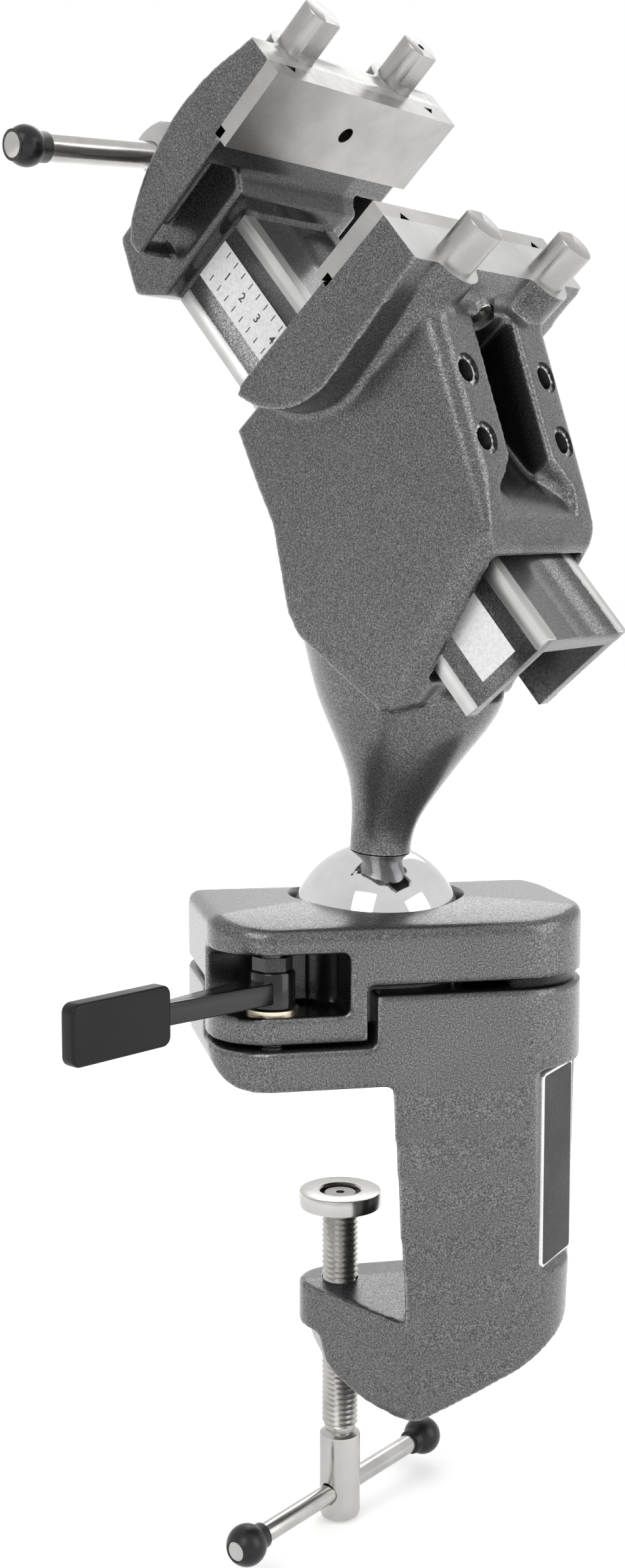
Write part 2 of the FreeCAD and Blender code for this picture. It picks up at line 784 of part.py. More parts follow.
def make_lever():
    seat = S.pocket_floor + S.washer_thickness
    stud = cylinder("stud_bar", S.stud_radius, S.stud_top - S.stud_bottom, (STUD_X, STUD_Y, S.stud_bottom))
    slot = box("stud_slot", (STUD_X - S.stud_radius - 1, STUD_Y - 0.6, S.stud_top - 1.2),
               (STUD_X + S.stud_radius + 1, STUD_Y + 0.6, S.stud_top + 1))
    piece(cut("stud_slotted", stud, [slot]), "lever_stud")

    disc = cylinder("washer_disc", S.washer_radius, S.washer_thickness, (STUD_X, STUD_Y, S.pocket_floor))
    hole = cylinder("washer_hole", S.stud_radius + 0.3, S.washer_thickness + 2,
                    (STUD_X, STUD_Y, S.pocket_floor - 1))
    piece(cut("washer_ring", disc, [hole]), "lever_washer")

    hub_base = seat + S.lever_gap
    hub = cylinder("lever_hub", S.hub_radius, S.hub_height, (0, 0, hub_base))
    arm_base = hub_base + S.arm_lift
    arm_outline = [
        (0, -S.arm_root),
        (S.grip_start, -S.arm_tip),
        (S.arm_length, -S.arm_tip),
        (S.arm_length, S.arm_tip),
        (S.grip_start, S.arm_tip),
        (0, S.arm_root),
    ]
    arm = prism("lever_arm", arm_outline, arm_base, arm_base + S.arm_height)
    bore = cylinder("lever_bore", S.stud_radius + S.run_clearance, S.hub_height + 4, (0, 0, hub_base - 2))
    piece(cut("lever_bored", fuse("lever_forging", [hub, arm]), [bore]), "clamp_lever", LEVER)

    middle = arm_base + S.arm_height / 2
    half, thick = S.grip_height / 2, S.grip_thickness / 2
    sheath = box("grip_blank", (S.grip_start, -thick, middle - half), (S.grip_end, thick, middle + half))
    rounded = round_edges("grip_rounded", sheath, S.grip_round, lambda edge: is_along(edge, ACROSS))
    tang = prism("grip_tang", arm_outline, arm_base, arm_base + S.arm_height)
    piece(cut("grip_sleeved", rounded, [tang]), "lever_grip", LEVER)

    nut_base = hub_base + S.hub_height + S.nut_gap
    nut = hexagon("nut_blank", S.nut_radius, S.nut_height, (STUD_X, STUD_Y, nut_base))
    nut_bore = cylinder("nut_bore", S.stud_radius + S.run_clearance, S.nut_height + 2,
                        (STUD_X, STUD_Y, nut_base - 1))
    piece(cut("nut_bored", nut, [nut_bore]), "lever_lock_nut")


# ---- table spindle ----

def knob(name, radius, bar_radius):
    """A ball knob with a flat face, bored for the bar's end; its bar runs along its own z."""
    ball = sphere(f"{name}_ball", radius, (0, 0, 0))
    neck = cylinder(f"{name}_neck", bar_radius + S.knob_neck, radius + 1.5, (0, 0, -radius - 1.5))
    bore = cylinder(f"{name}_bore", bar_radius, radius * 4, (0, 0, -radius * 2))
    return cut(f"{name}_bored", fuse(f"{name}_blank", [ball, neck]), [bore])


def make_bar(name, radius, half, knob_radius, frame):
    length = half * 2 + knob_radius * 1.7
    bar = turned(name, [
        (0, -length / 2),
        (radius - 0.8, -length / 2),
        (radius, -length / 2 + 0.8),
        (radius, length / 2 - 0.8),
        (radius - 0.8, length / 2),
        (0, length / 2),
    ])
    piece(bar, name, frame)
    knobs = []
    for number, side in enumerate((1, -1), start=1):
        end = knob(f"{name}_knob_{number}", knob_radius, radius)
        outward = Rotation(ACROSS, 0 if side > 0 else 180)
        end.Placement = Placement(Vector(0, 0, side * value_of(half)), outward)
        knobs.append(end)
    piece(group(f"{name}_knob_pair", knobs), f"{name}_knobs", frame)


def make_spindle():
    axis = Placement(point(-S.spindle_x, 0, 0), Rotation())
    top = -S.press_top
    floor = top - S.press_recess
    bottom = top - S.press_thickness
    shank = S.press_screw_radius
    plate = turned("pressure_plate", [
        (S.tip_radius + S.run_clearance, bottom),
        (S.press_radius - 0.5, bottom),
        (S.press_radius, bottom + 0.5),
        (S.press_radius, top - 0.8),
        (S.press_radius - 0.8, top),
        (S.press_recess_radius, top),
        (S.press_recess_radius, floor),
        (S.tip_radius + S.run_clearance, floor),
    ])
    piece(plate, "pressure_plate", axis)

    tip = floor - 0.1
    hub_top = bottom - 0.1 - S.spindle_length
    hub_bottom = hub_top - S.spindle_hub_length
    bar_height = hub_top - S.low_bar_below_hub
    blank = turned("spindle_blank", [
        (shank + S.run_clearance, tip),
        (shank + S.run_clearance, tip - S.press_screw_length),
        (0, tip - S.press_screw_length),
        (0, hub_bottom),
        (S.spindle_hub_radius - 1, hub_bottom),
        (S.spindle_hub_radius, hub_bottom + 1),
        (S.spindle_hub_radius, hub_top - S.spindle_hub_neck),
        (S.thread_radius, hub_top),
        (S.thread_radius, bottom - 0.9),
        (S.thread_radius - 0.8, bottom - 0.1),
        (S.tip_radius, bottom - 0.1),
        (S.tip_radius, tip),
    ])
    cross = cylinder("spindle_cross_hole", S.low_bar_radius + S.run_clearance, S.spindle_hub_radius * 4,
                     (-S.spindle_hub_radius * 2, 0, bar_height), "x")
    drilled = cut("spindle_drilled", blank, [cross])
    piece(drilled, "clamp_spindle", axis.multiply(Placement(Vector(), Rotation(UP, LOW_BAR_ANGLE))))

    head_base = floor
    screw = turned("pressure_plate_screw", [
        (0, tip - S.press_screw_length + 1),
        (shank, tip - S.press_screw_length + 1),
        (shank, head_base),
        (S.press_screw_head, head_base),
        (S.press_screw_head, head_base + S.press_screw_head_height - 0.6),
        (S.press_screw_head - 0.6, head_base + S.press_screw_head_height),
        (shank * 0.8, head_base + S.press_screw_head_height),
        (shank * 0.8, head_base + 0.6),
        (0, head_base + 0.6),
    ])
    piece(screw, "pressure_plate_screw", axis)

    along = Rotation(UP, LOW_BAR_ANGLE).multiply(Rotation(ACROSS, 90))
    bar_frame = Placement(point(-S.spindle_x, 0, bar_height), along)
    make_bar("spindle_bar", S.low_bar_radius, S.low_bar_half, S.low_knob_radius, bar_frame)


# ---- vise head: fixed body ----

def make_jaw_plate(label, face, toward):
    """A ground jaw plate with a rebate along the lower edge of its back, a tapped hole at its middle
    and two notches in the upper edge of its back. toward is +1 when the back lies on the +u side."""
    bottom = S.jaw_top - S.jaw_plate_height
    thick, thin = S.jaw_plate_thick * toward, S.jaw_plate_thin * toward
    outline = [
        (face, bottom),
        (face, S.jaw_top),
        (face + thick, S.jaw_top),
        (face + thick, bottom + S.jaw_plate_step),
        (face + thin, bottom + S.jaw_plate_step),
        (face + thin, bottom),
    ]
    plate = prism(f"{label}_form", outline, -S.jaw_half, S.jaw_half, "y")
    tools = [cylinder(f"{label}_hole", S.plate_screw_radius + S.run_clearance, 40,
                      (face - 20, 0, (S.jaw_top - S.plate_screw_drop)), "x")]
    size = S.notch_size
    for number, side in enumerate((-1, 1), start=1):
        middle = S.notch_w * side
        tools.append(prism(f"{label}_notch_{number}", [
            (middle - size, S.jaw_top + 0.1),
            (middle, S.jaw_top - size),
            (middle + size, S.jaw_top + 0.1),
        ], face + thick - size * toward if toward > 0 else face + thick,
            face + thick if toward > 0 else face + thick - size * toward, "x"))
    piece(cut(f"{label}_cut", plate, tools), label, HEAD)


def pillar_height(distance):
    """How high the sloping back of the pillars lies at a distance along the slide."""
    slope = math.tan(math.radians(PILLAR_SLOPE))
    return S.pillar_top_v - (S.pillar_top_u - distance) * slope


def gib_screw_places():
    cos_slope = math.cos(math.radians(PILLAR_SLOPE))
    rear = S.gib_screw_front - S.gib_screw_pitch * cos_slope
    return [(u, side) for side in (-1, 1) for u in (S.gib_screw_front, rear)]


def make_vise_body():
    casting_front = -S.fixed_face + S.jaw_plate_thin
    plate_back = -S.fixed_face + S.jaw_plate_thick
    step = S.jaw_top - S.jaw_plate_height + S.jaw_plate_step
    jaw = prism("fixed_jaw", [
        (plate_back, S.jaw_top),
        (plate_back, step),
        (casting_front, step),
        (casting_front, S.fixed_jaw_lip + 4),
        (casting_front + 2, S.fixed_jaw_lip, S.fixed_jaw_sweep),
        (-S.fixed_jaw_back + S.fixed_jaw_taper, S.jaw_top - S.fixed_jaw_wall),
        (-S.fixed_jaw_back, S.jaw_top),
    ], -S.jaw_half, S.jaw_half, "y")
    low = S.slide_top - S.slide_height
    foot = (-S.pillar_foot_u, S.pillar_foot_v)
    shoulder = (-S.body_back - S.shoulder_run, S.slide_top + S.shoulder_rise)
    heel = (-S.body_back, low + S.heel_rise)
    side = prism("body_side", [
        (-S.body_front, S.pillar_top_v),
        (-S.body_front, low - S.chin_drop),
        (-S.body_front + S.belly_run, low - S.belly_drop),
        (-S.body_front + S.keel_run, low - S.keel_drop),
        (-S.body_back - S.point_front, low - S.point_front_drop),
        (-S.body_back - S.point_back, low - S.point_back_drop),
        (-S.body_back - S.rump_run, low - S.rump_drop),
        (-S.body_back + S.heel_run, low - S.heel_drop),
        heel,
        shoulder,
        (-S.body_back - S.back_run, S.slide_top + S.back_rise),
        foot,
        (-S.pillar_top_u, S.pillar_top_v),
    ], -S.body_half, S.body_half, "y")
    crest = rounded_bar("body_crest", foot, PILLAR_SLOPE)
    back = rounded_bar("body_heel", shoulder, HEEL_SLOPE)
    body = common("body_form", [side, crest, back])
    bosses = [cylinder(f"fixed_boss_{number}", S.boss_radius, S.jaw_top - S.slide_top - 10,
                       (-S.fixed_face + S.post_setback, S.post_w * side, S.slide_top + 10))
              for number, side in enumerate((-1, 1), start=1)]
    casting = fuse("body_casting", [jaw, body] + bosses + [make_neck()])

    gap = S.tunnel_clearance
    tunnel = box("slide_tunnel", (-S.fixed_face - 10, -S.slide_half - gap, low - gap),
                 (-S.body_back + 20, S.slide_half + gap, S.slide_top + gap))
    slot_end = -S.body_back + 20
    slot = prism("pillar_slot", [
        (-S.slot_front, S.jaw_top - 4),
        (-S.slot_front, S.slot_floor),
        (-S.slot_ramp, S.slot_floor),
        (-S.flare_end, S.slot_sill),
        (slot_end, S.slot_sill),
        (slot_end, S.jaw_top - 4),
    ], -S.slot_half, S.slot_half, "y")
    flare = prism("slot_flare", [
        (-S.flare_start, -S.slot_half),
        (-S.flare_end, -S.flare_half),
        (slot_end, -S.flare_half),
        (slot_end, S.flare_half),
        (-S.flare_end, S.flare_half),
        (-S.flare_start, S.slot_half),
    ], S.slot_sill, S.jaw_top)
    mouth = box("tunnel_mouth", (-S.mouth_start, -S.mouth_half, low - S.mouth_rise),
                (slot_end, S.mouth_half, S.slide_top + S.mouth_rise))
    plate_seat = box("fixed_plate_seat", (-S.fixed_face - 10, -S.jaw_half - 5, step),
                     (plate_back, S.jaw_half + 5, S.jaw_top + 5))
    tools = [tunnel, slot, flare, mouth, plate_seat]
    gib_low, gib_high = S.slide_top + gap - 1, S.slide_top + gap + S.gib_thickness + gap
    gib_rear = -S.gib_screw_front - S.gib_length / 3
    for number, side in enumerate((-1, 1), start=1):
        inner = S.gib_screw_w - S.gib_half_width - gap
        outer = S.gib_screw_w + S.gib_half_width + gap
        near, far = (-outer, -inner) if side < 0 else (inner, outer)
        tools.append(box(f"gib_channel_{number}", (gib_rear - gap, near, gib_low),
                         (gib_rear + S.gib_length + gap, far, gib_high)))
    tilt = Rotation(ACROSS, PILLAR_SLOPE)
    for number, (u, side) in enumerate(gib_screw_places(), start=1):
        down = tilt.multVec(Vector(0, 0, -1))
        place = (-u, S.gib_screw_w * side, pillar_height(u))
        foot = point(*place) + down * (value_of(place[2]) - value_of(gib_high)) / -down.z
        tools.append(slanted(f"gib_face_{number}", S.gib_face_radius, point(*place) - down * 12,
                             point(*place) + down * value_of(S.gib_face_depth)))
        tools.append(slanted(f"gib_bore_{number}", S.gib_screw_radius + S.run_clearance, point(*place),
                             foot + down))
    for number, side in enumerate((-1, 1), start=1):
        tools.append(cylinder(f"fixed_post_hole_{number}", S.post_spigot_radius + S.run_clearance,
                              S.post_spigot_length + 2,
                              (-S.fixed_face + S.post_setback, S.post_w * side,
                               S.jaw_top - S.post_spigot_length - 0.5)))
    screw_height = S.jaw_top - S.plate_screw_drop
    tools.append(cylinder("fixed_plate_screw_hole", S.plate_screw_radius + S.run_clearance, S.tool_reach,
                          (-S.fixed_face - 5, 0, screw_height), "x"))
    tools.append(cylinder("fixed_plate_screw_sink", S.plate_screw_head + 0.3, S.tool_reach,
                          (-S.slot_front - S.fixed_screw_seat, 0, screw_height), "x"))
    for number, u in enumerate(nut_screw_places(), start=1):
        tools.append(cylinder(f"nut_screw_hole_{number}", S.nut_screw_radius + S.run_clearance, S.tool_reach,
                              (u, 0, low - S.tool_reach + 20)))
        tools.append(cylinder(f"nut_screw_sink_{number}", S.nut_screw_head + 0.4, S.tool_reach,
                              (u, 0, low - S.nut_screw_depth - S.tool_reach)))
    bore_start = STEM_IN_HEAD.multVec(point(0, 0, S.ball_radius - S.run_in))
    bore_end = STEM_IN_HEAD.multVec(point(0, 0, S.ball_radius + S.ball_stud_in_neck + S.drill_point))
    tools.append(slanted("neck_bore", S.ball_stud_radius + S.run_clearance, bore_start, bore_end))
    tools.append(sphere("neck_foot", S.ball_radius + S.neck_gap, (0, 0, 0)))
    piece(cut("vise_body_cut", casting, tools), "vise_body", HEAD)


def rounded_bar(name, place, slope):
    """A wide bar that slopes down the back of the body through a point, with its long edges rounded."""
    reach = S.body_front
    bar = box(f"{name}_bar", (-reach, -S.body_half, -reach), (reach, S.body_half, 0))
    rounded = round_edges(name, bar, S.body_round,
                          lambda edge: is_along(edge, Vector(1, 0, 0)) and edge.BoundBox.ZMax > -1)
    rounded.Placement = Placement(point(place[0], 0, place[1]), Rotation(ACROSS, slope))
    return rounded


def slanted(name, radius, start, end):
    """A round tool from one point to another."""
    form = doc.addObject("Part::Cylinder", name)
    bind(form, "Radius", radius)
    form.Height = (end - start).Length
    form.Placement = Placement(start, Rotation(UP, end - start))
    return form


def make_neck():
    """The neck widens from a round foot on the ball into the body, most of all along the slide."""
    r, flare = S.neck_radius, S.neck_flare
    # shares of the neck's height, and of its flare across the slide, along it and to one side
    stations = [
        (0.224, 0.0, 0.0, 0.0),
        (0.293, 0.0, 0.0, 0.012),
        (0.375, 0.065, 0.070, 0.079),
        (0.448, 0.175, 0.194, 0.174),
        (0.586, 0.470, 0.540, 0.289),
        (0.724, 0.690, 0.950, 0.331),
        (0.845, 0.740, 1.0, 0.165),
        (1.0, 0.740, 0.900, -0.207),
    ]
    rings = []
    for number, (height, wide, deep, offset) in enumerate(stations, start=1):
        ring = doc.addObject("Part::Ellipse", f"neck_ring_{number}")
        bind(ring, "MajorRadius", r + flare * deep)
        bind(ring, "MinorRadius", r + flare * wide)
        place = STEM_IN_HEAD.multVec(point(flare * offset, 0, S.neck_height * height))
        ring.Placement = Placement(place, STEM_IN_HEAD)
        rings.append(ring)
    return loft("neck", rings)


def nut_screw_places():
    quarter = (S.nut_front - S.nut_back) / 4
    return [-S.nut_front + quarter, -S.nut_back - quarter]


def make_head_fittings():
    make_jaw_plate("fixed_jaw_plate", -S.fixed_face, 1)
    seat = -S.slot_front - S.fixed_screw_seat
    plate_screw("fixed_plate_screw", seat, seat + S.fixed_face - S.plate_screw_short, -1)
    gap = S.tunnel_clearance
    gib_low = S.slide_top + gap
    gib_rear = -S.gib_screw_front - S.gib_length / 3
    for side, label in ((-1, "gib_strip_near"), (1, "gib_strip_far")):
        inner, outer = S.gib_screw_w - S.gib_half_width, S.gib_screw_w + S.gib_half_width
        near, far = (-outer, -inner) if side < 0 else (inner, outer)
        strip = box(f"{label}_form", (gib_rear, near, gib_low),
                    (gib_rear + S.gib_length, far, gib_low + S.gib_thickness))
        piece(group(f"{label}_bar", [strip]), label, HEAD)
    screws = []
    down = Rotation(ACROSS, PILLAR_SLOPE).multVec(Vector(0, 0, -1))
    for number, (u, side) in enumerate(gib_screw_places(), start=1):
        mouth = point(-u, S.gib_screw_w * side, pillar_height(u))
        seat = mouth + down * value_of(S.gib_screw_sunk)
        drop = value_of(mouth.z) - value_of(S.slide_top + S.gib_thickness + S.gib_screw_tip)
        foot = mouth + down * (drop / -down.z)
        shank = slanted(f"gib_shank_{number}", S.gib_screw_radius, seat, foot)
        socket = slanted(f"gib_socket_{number}", S.gib_screw_radius * 0.55, seat - down, seat + down * 3)
        screws.append(cut(f"gib_screw_{number}", shank, [socket]))
    piece(group("gib_screw_set", screws), "gib_screws", HEAD)
    for side, label in ((-1, "fixed_post_near"), (1, "fixed_post_far")):
        make_post(label, -S.fixed_face + S.post_setback, side, 180)

    low = S.slide_top - S.slide_height
    roof = S.slide_top - S.slide_roof
    block = box("lead_nut_block", (-S.nut_front, -S.nut_half, low - gap), (-S.nut_back, S.nut_half, roof - 2))
    bore = cylinder("lead_nut_bore", S.screw_radius + S.run_clearance, S.nut_front - S.nut_back + 10,
                    (-S.nut_front - 5, 0, S.screw_v), "x")
    drilled = [cylinder(f"nut_tapped_{number}", S.nut_screw_radius + S.run_clearance, 9, (u, 0, low - 1))
               for number, u in enumerate(nut_screw_places(), start=1)]
    piece(cut("lead_nut_bored", block, [bore] + drilled), "lead_nut", HEAD)
    bolts = []
    for number, u in enumerate(nut_screw_places(), start=1):
        seat = low - S.nut_screw_depth
        shank = cylinder(f"nut_bolt_shank_{number}", S.nut_screw_radius, 14, (u, 0, seat))
        head = cylinder(f"nut_bolt_head_{number}", S.nut_screw_head, S.nut_screw_head_height,
                        (u, 0, seat - S.nut_screw_head_height))
        bolts.append(fuse(f"nut_bolt_{number}", [shank, head]))
    piece(group("nut_bolt_pair", bolts), "lead_nut_screws", HEAD)


def make_post(label, u, side, facing):
    """A round post with one side milled flat, the side that faces the work."""
    r, spigot = S.post_radius, S.post_spigot_radius
    blank = turned(f"{label}_blank", [
        (0, -S.post_spigot_length),
        (spigot - S.post_chamfer, -S.post_spigot_length),
        (spigot, -S.post_spigot_length + S.post_chamfer),
        (spigot, 0),
        (r, 0),
        (r, S.post_rise - S.post_chamfer),
        (r - S.post_chamfer, S.post_rise),
        (0, S.post_rise),
    ])
    milling = group(f"{label}_milling", [box(f"{label}_milled", (S.post_flat, -r, S.post_flat_start),
                                             (r + 1, r, S.post_rise + 1))])
    milling.Placement = Placement(Vector(), Rotation(UP, facing))
    post = cut(f"{label}_flatted", blank, [milling])
    piece(post, label, HEAD, Placement(point(u, S.post_w * side, S.jaw_top), Rotation()))


def plate_screw(label, seat_u, length, toward):
    """A socket screw along u that pulls a jaw plate onto its casting; its tip points along toward."""
    turn = Rotation(ACROSS, 90 * toward)
    screw = turned(label, [
        (0, length),
        (S.plate_screw_radius - 0.5, length),
        (S.plate_screw_radius, length - 0.5),
        (S.plate_screw_radius, 0),
        (S.plate_screw_head, 0),
        (S.plate_screw_head, -S.plate_screw_head_height + 0.5),
        (S.plate_screw_head - 0.5, -S.plate_screw_head_height),
        (S.plate_screw_radius * 0.8, -S.plate_screw_head_height),
        (S.plate_screw_radius * 0.8, -S.plate_screw_head_height / 2),
        (0, -S.plate_screw_head_height / 2),
    ])
    piece(screw, label, HEAD, Placement(point(seat_u, 0, S.jaw_top - S.plate_screw_drop), turn))


# ---- vise head: movable jaw ----

def make_movable_jaw():
    face = -S.fixed_face - S.opening
    front = face - S.jaw_plate_thin
    plate_back = face - S.jaw_plate_thick
    back = plate_back - S.movable_jaw_depth
    step = S.jaw_top - S.jaw_plate_height + S.jaw_plate_step
    jaw = prism("movable_slab", [
        (plate_back, S.jaw_top),
        (back, S.jaw_top),
        (back - 3, S.jaw_top - 7.5, S.movable_back_radius),
        (front - 11, S.movable_jaw_bottom + 5),
        (front - 6, S.movable_jaw_bottom),
        (front, S.movable_jaw_bottom),
        (front, step),
        (plate_back, step),
    ], -S.jaw_half, S.jaw_half, "y")
    low = S.slide_top - S.slide_height
    hub = prism("movable_hub", [
        (-S.hub_back, S.slide_top + 8),
        (-S.hub_back, low - 2),
        (-S.hub_back + 20, S.hub_bottom),
        (-S.hub_front, low),
        (-S.hub_front, S.slide_top + 7),
        (front, S.slide_top + 11),
        (back, S.slide_top + 26),
    ], -S.hub_half, S.hub_half, "y")
    rail = box("slide_bar", (-S.hub_back + 10, -S.slide_half, low), (-S.slide_end, S.slide_half, S.slide_top))
    setback = face - S.movable_post_setback
    bosses = [cylinder(f"movable_boss_{number}", S.boss_radius, S.movable_boss_height,
                       (setback, S.post_w * side, S.jaw_top - S.movable_boss_height))
              for number, side in enumerate((-1, 1), start=1)]
    casting = fuse("movable_casting", [jaw, hub, rail] + bosses)

    channel = box("slide_channel", (-S.hub_front + S.channel_setback, -S.slide_half + S.slide_wall, low - 5),
                  (-S.slide_end + 5, S.slide_half - S.slide_wall, S.slide_top - S.slide_roof))
    tools = [channel]
    relief, land = S.slide_relief, S.slide_land
    tools.append(box("roof_relief", (-S.hub_front, -S.slide_half + land, S.slide_top - relief),
                     (-S.slide_end + 5, S.slide_half - land, S.slide_top + 5)))
    for number, side in enumerate((-1, 1), start=1):
        outside, inside = S.slide_half + 5, S.slide_half - relief
        near, far = (-outside, -inside) if side < 0 else (inside, outside)
        tools.append(box(f"wall_relief_{number}", (-S.hub_front, near, low + land),
                         (-S.slide_end + 5, far, S.slide_top - land)))
        pocket_near, pocket_far = S.hub_half, S.jaw_half - S.jaw_rib
        first, last = (-pocket_far, -pocket_near) if side < 0 else (pocket_near, pocket_far)
        tools.append(box(f"jaw_pocket_{number}",
                         (front - S.jaw_pocket_depth, first, S.movable_jaw_bottom + 2),
                         (front + 30, last, S.jaw_top - S.jaw_plate_height - S.jaw_web)))
        tools.append(cylinder(f"movable_post_hole_{number}", S.post_spigot_radius + S.run_clearance,
                              S.post_spigot_length + 2,
                              (setback, S.post_w * side, S.jaw_top - S.post_spigot_length - 0.5)))
    screw_height = S.jaw_top - S.plate_screw_drop
    tools.append(cylinder("screw_passage", S.screw_radius + S.run_clearance, S.tool_reach,
                          (-S.hub_back - 20, 0, S.screw_v), "x"))
    tools.append(cylinder("movable_plate_hole", S.plate_screw_radius + S.run_clearance, S.tool_reach,
                          (back - 20, 0, screw_height), "x"))
    tools.append(cylinder("movable_plate_sink", S.plate_screw_head + 0.3, S.tool_reach,
                          (back + S.plate_screw_seat - S.tool_reach, 0, screw_height), "x"))
    piece(cut("movable_jaw_cut", casting, tools), "movable_jaw", HEAD)

    make_jaw_plate("movable_jaw_plate", face, -1)
    seat = back + S.plate_screw_seat
    plate_screw("movable_plate_screw", seat, face - seat - S.plate_screw_short, 1)
    for side, label in ((-1, "movable_post_near"), (1, "movable_post_far")):
        make_post(label, setback, side, 0)

    wall = -S.slide_half + S.slide_relief
    middle = S.slide_top - S.slide_height / 2
    for label, start, length in (
            ("scale_strip", face + 4, S.scale_length),
            ("blank_label", -S.slide_end - 5 - S.blank_label_length, S.blank_label_length)):
        sheet_form = box(f"{label}_form", (start, wall - S.label_thickness, middle - S.scale_height / 2),
                         (start + length, wall, middle + S.scale_height / 2))
        piece(group(f"{label}_sheet", [sheet_form]), label, HEAD)


def make_lead_screw():
    head_top = -S.hub_back - 0.2
    axis = Placement(point(head_top, 0, S.screw_v), Rotation(ACROSS, 90))
    r = S.screw_radius
    reach = S.hub_back - S.screw_shank_end
    hub_depth = S.hub_back - S.hub_front + S.channel_setback
    groove = hub_depth + 0.4
    blank = turned("lead_screw_blank", [
        (0, -S.screw_head_length),
        (S.screw_head_radius - 1.5, -S.screw_head_length),
        (S.screw_head_radius, -S.screw_head_length + 1.5),
        (S.screw_head_radius, -1),
        (S.screw_head_radius - 1, 0),
        (r, 0),
        (r, groove),
        (r - 1, groove),
        (r - 1, groove + S.ring_thickness + 0.1),
        (r, groove + S.ring_thickness + 0.1),
        (r, reach - 1.5),
        (r - 1.5, reach),
        (0, reach),
    ])
    cross = cylinder("screw_cross_hole", S.bar_radius + S.run_clearance, S.screw_head_radius * 4,
                     (0, -S.screw_head_radius * 2, -S.bar_setback), "y")
    twist = Placement(Vector(), Rotation(UP, UPPER_BAR_ANGLE))
    piece(cut("lead_screw_drilled", blank, [cross]), "lead_screw", HEAD.multiply(axis).multiply(twist))

    ring = turned("screw_retaining_ring", [
        (r - 1 + S.run_clearance, 0),
        (S.ring_radius, 0),
        (S.ring_radius, S.ring_thickness),
        (r - 1 + S.run_clearance, S.ring_thickness),
    ])
    ring_place = Placement(point(0, 0, groove + 0.05), Rotation())
    piece(ring, "screw_retaining_ring", HEAD.multiply(axis), ring_place)

    crosswise = Rotation(UP, UPPER_BAR_ANGLE).multiply(Rotation(Vector(1, 0, 0), -90))
    bar_frame = HEAD.multiply(axis).multiply(Placement(point(0, 0, -S.bar_setback), crosswise))
    make_bar("jaw_bar", S.bar_radius, S.bar_half, S.bar_knob_radius, bar_frame)


make_bracket()
make_name_plate()
make_cap()
make_cap_screws()
make_ball_joint()
make_lever()
make_spindle()
make_vise_body()
make_head_fittings()
make_movable_jaw()
make_lead_screw()
doc.recompute()

failed = [item.Name for item in doc.Objects if "Invalid" in item.State or "Error" in item.State]
assert not failed, f"objects that failed: {failed}"
for item in pieces:
    assert not item.Shape.isNull() and item.Shape.isValid(), f"{item.Label} has no valid shape"

os.makedirs("parts", exist_ok=True)
for item in pieces:
    item.Shape.exportStep(f"parts/{item.Label}.step")
    print(item.Label, len(item.Shape.Solids), round(item.Shape.Volume))
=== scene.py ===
import math

import bmesh
import bpy
from mathutils import Matrix, Vector


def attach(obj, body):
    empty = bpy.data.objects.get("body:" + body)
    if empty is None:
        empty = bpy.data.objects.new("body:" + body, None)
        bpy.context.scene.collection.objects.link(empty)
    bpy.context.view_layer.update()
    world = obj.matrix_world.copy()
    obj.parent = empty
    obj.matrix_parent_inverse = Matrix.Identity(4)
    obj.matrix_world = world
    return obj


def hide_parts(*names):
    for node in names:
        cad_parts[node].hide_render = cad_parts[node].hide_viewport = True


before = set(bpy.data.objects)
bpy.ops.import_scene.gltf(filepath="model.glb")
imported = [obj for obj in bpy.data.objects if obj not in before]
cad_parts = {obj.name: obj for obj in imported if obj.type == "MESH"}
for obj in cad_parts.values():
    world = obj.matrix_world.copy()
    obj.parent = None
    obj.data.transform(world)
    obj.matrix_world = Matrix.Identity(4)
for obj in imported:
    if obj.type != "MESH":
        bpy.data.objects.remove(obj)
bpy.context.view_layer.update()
print("ball vise: frame loaded")

mm = 0.001


def turnBy(angle, axis):
    return Matrix.Rotation(math.radians(angle), 4, axis)


def moveTo(x, y=0.0, z=0.0):
    return Matrix.Translation((x, y, z))


# how the vise head stands on its ball: u runs along the slide, w across it, v up from it
stance = {"ballHeight": 47.0, "swivel": -72.5, "tilt": 5.9, "turn": 22.9, "slant": 45.0}
stemPlace = (moveTo(0, 0, stance["ballHeight"]) @ turnBy(stance["swivel"], "Z")
             @ turnBy(stance["tilt"], "Y") @ turnBy(stance["turn"], "Z"))
headPlace = stemPlace @ turnBy(stance["slant"], "Y")
stemInHead = turnBy(-stance["slant"], "Y")
tablePlace = Matrix()


# nodes of shader and geometry trees

def fill(tree, socket, value):
    # links the output of another node, or sets a number, colour or vector
    if isinstance(value, bpy.types.NodeSocket):
        tree.links.new(value, socket)
    elif socket.type == "RGBA":
        socket.default_value = (*value, 1.0)
    else:
        socket.default_value = value


def addNode(tree, kind, **values):
    # a name with a small first letter is a setting of the node, any other is one of its inputs
    node = tree.nodes.new(kind)
    for title, value in values.items():
        if title[0].islower():
            setattr(node, title, value)
        else:
            fill(tree, node.inputs[title.replace("_", " ")], value)
    return node


def addRow(tree, kind, *values, **settings):
    # a node whose inputs go by their order
    node = addNode(tree, kind, **settings)
    for socket, value in zip(node.inputs, values):
        fill(tree, socket, value)
    return node.outputs


def addMath(tree, operation, first, second, clamp=False):
    return addRow(tree, "ShaderNodeMath", first, second, operation=operation, use_clamp=clamp)[0]


def addNoise(tree, place, scale, detail=2.0, roughness=0.5):
    node = addNode(tree, "ShaderNodeTexNoise", Vector=place, Scale=scale, Detail=detail,
                   Roughness=roughness)
    return node.outputs["Fac"]


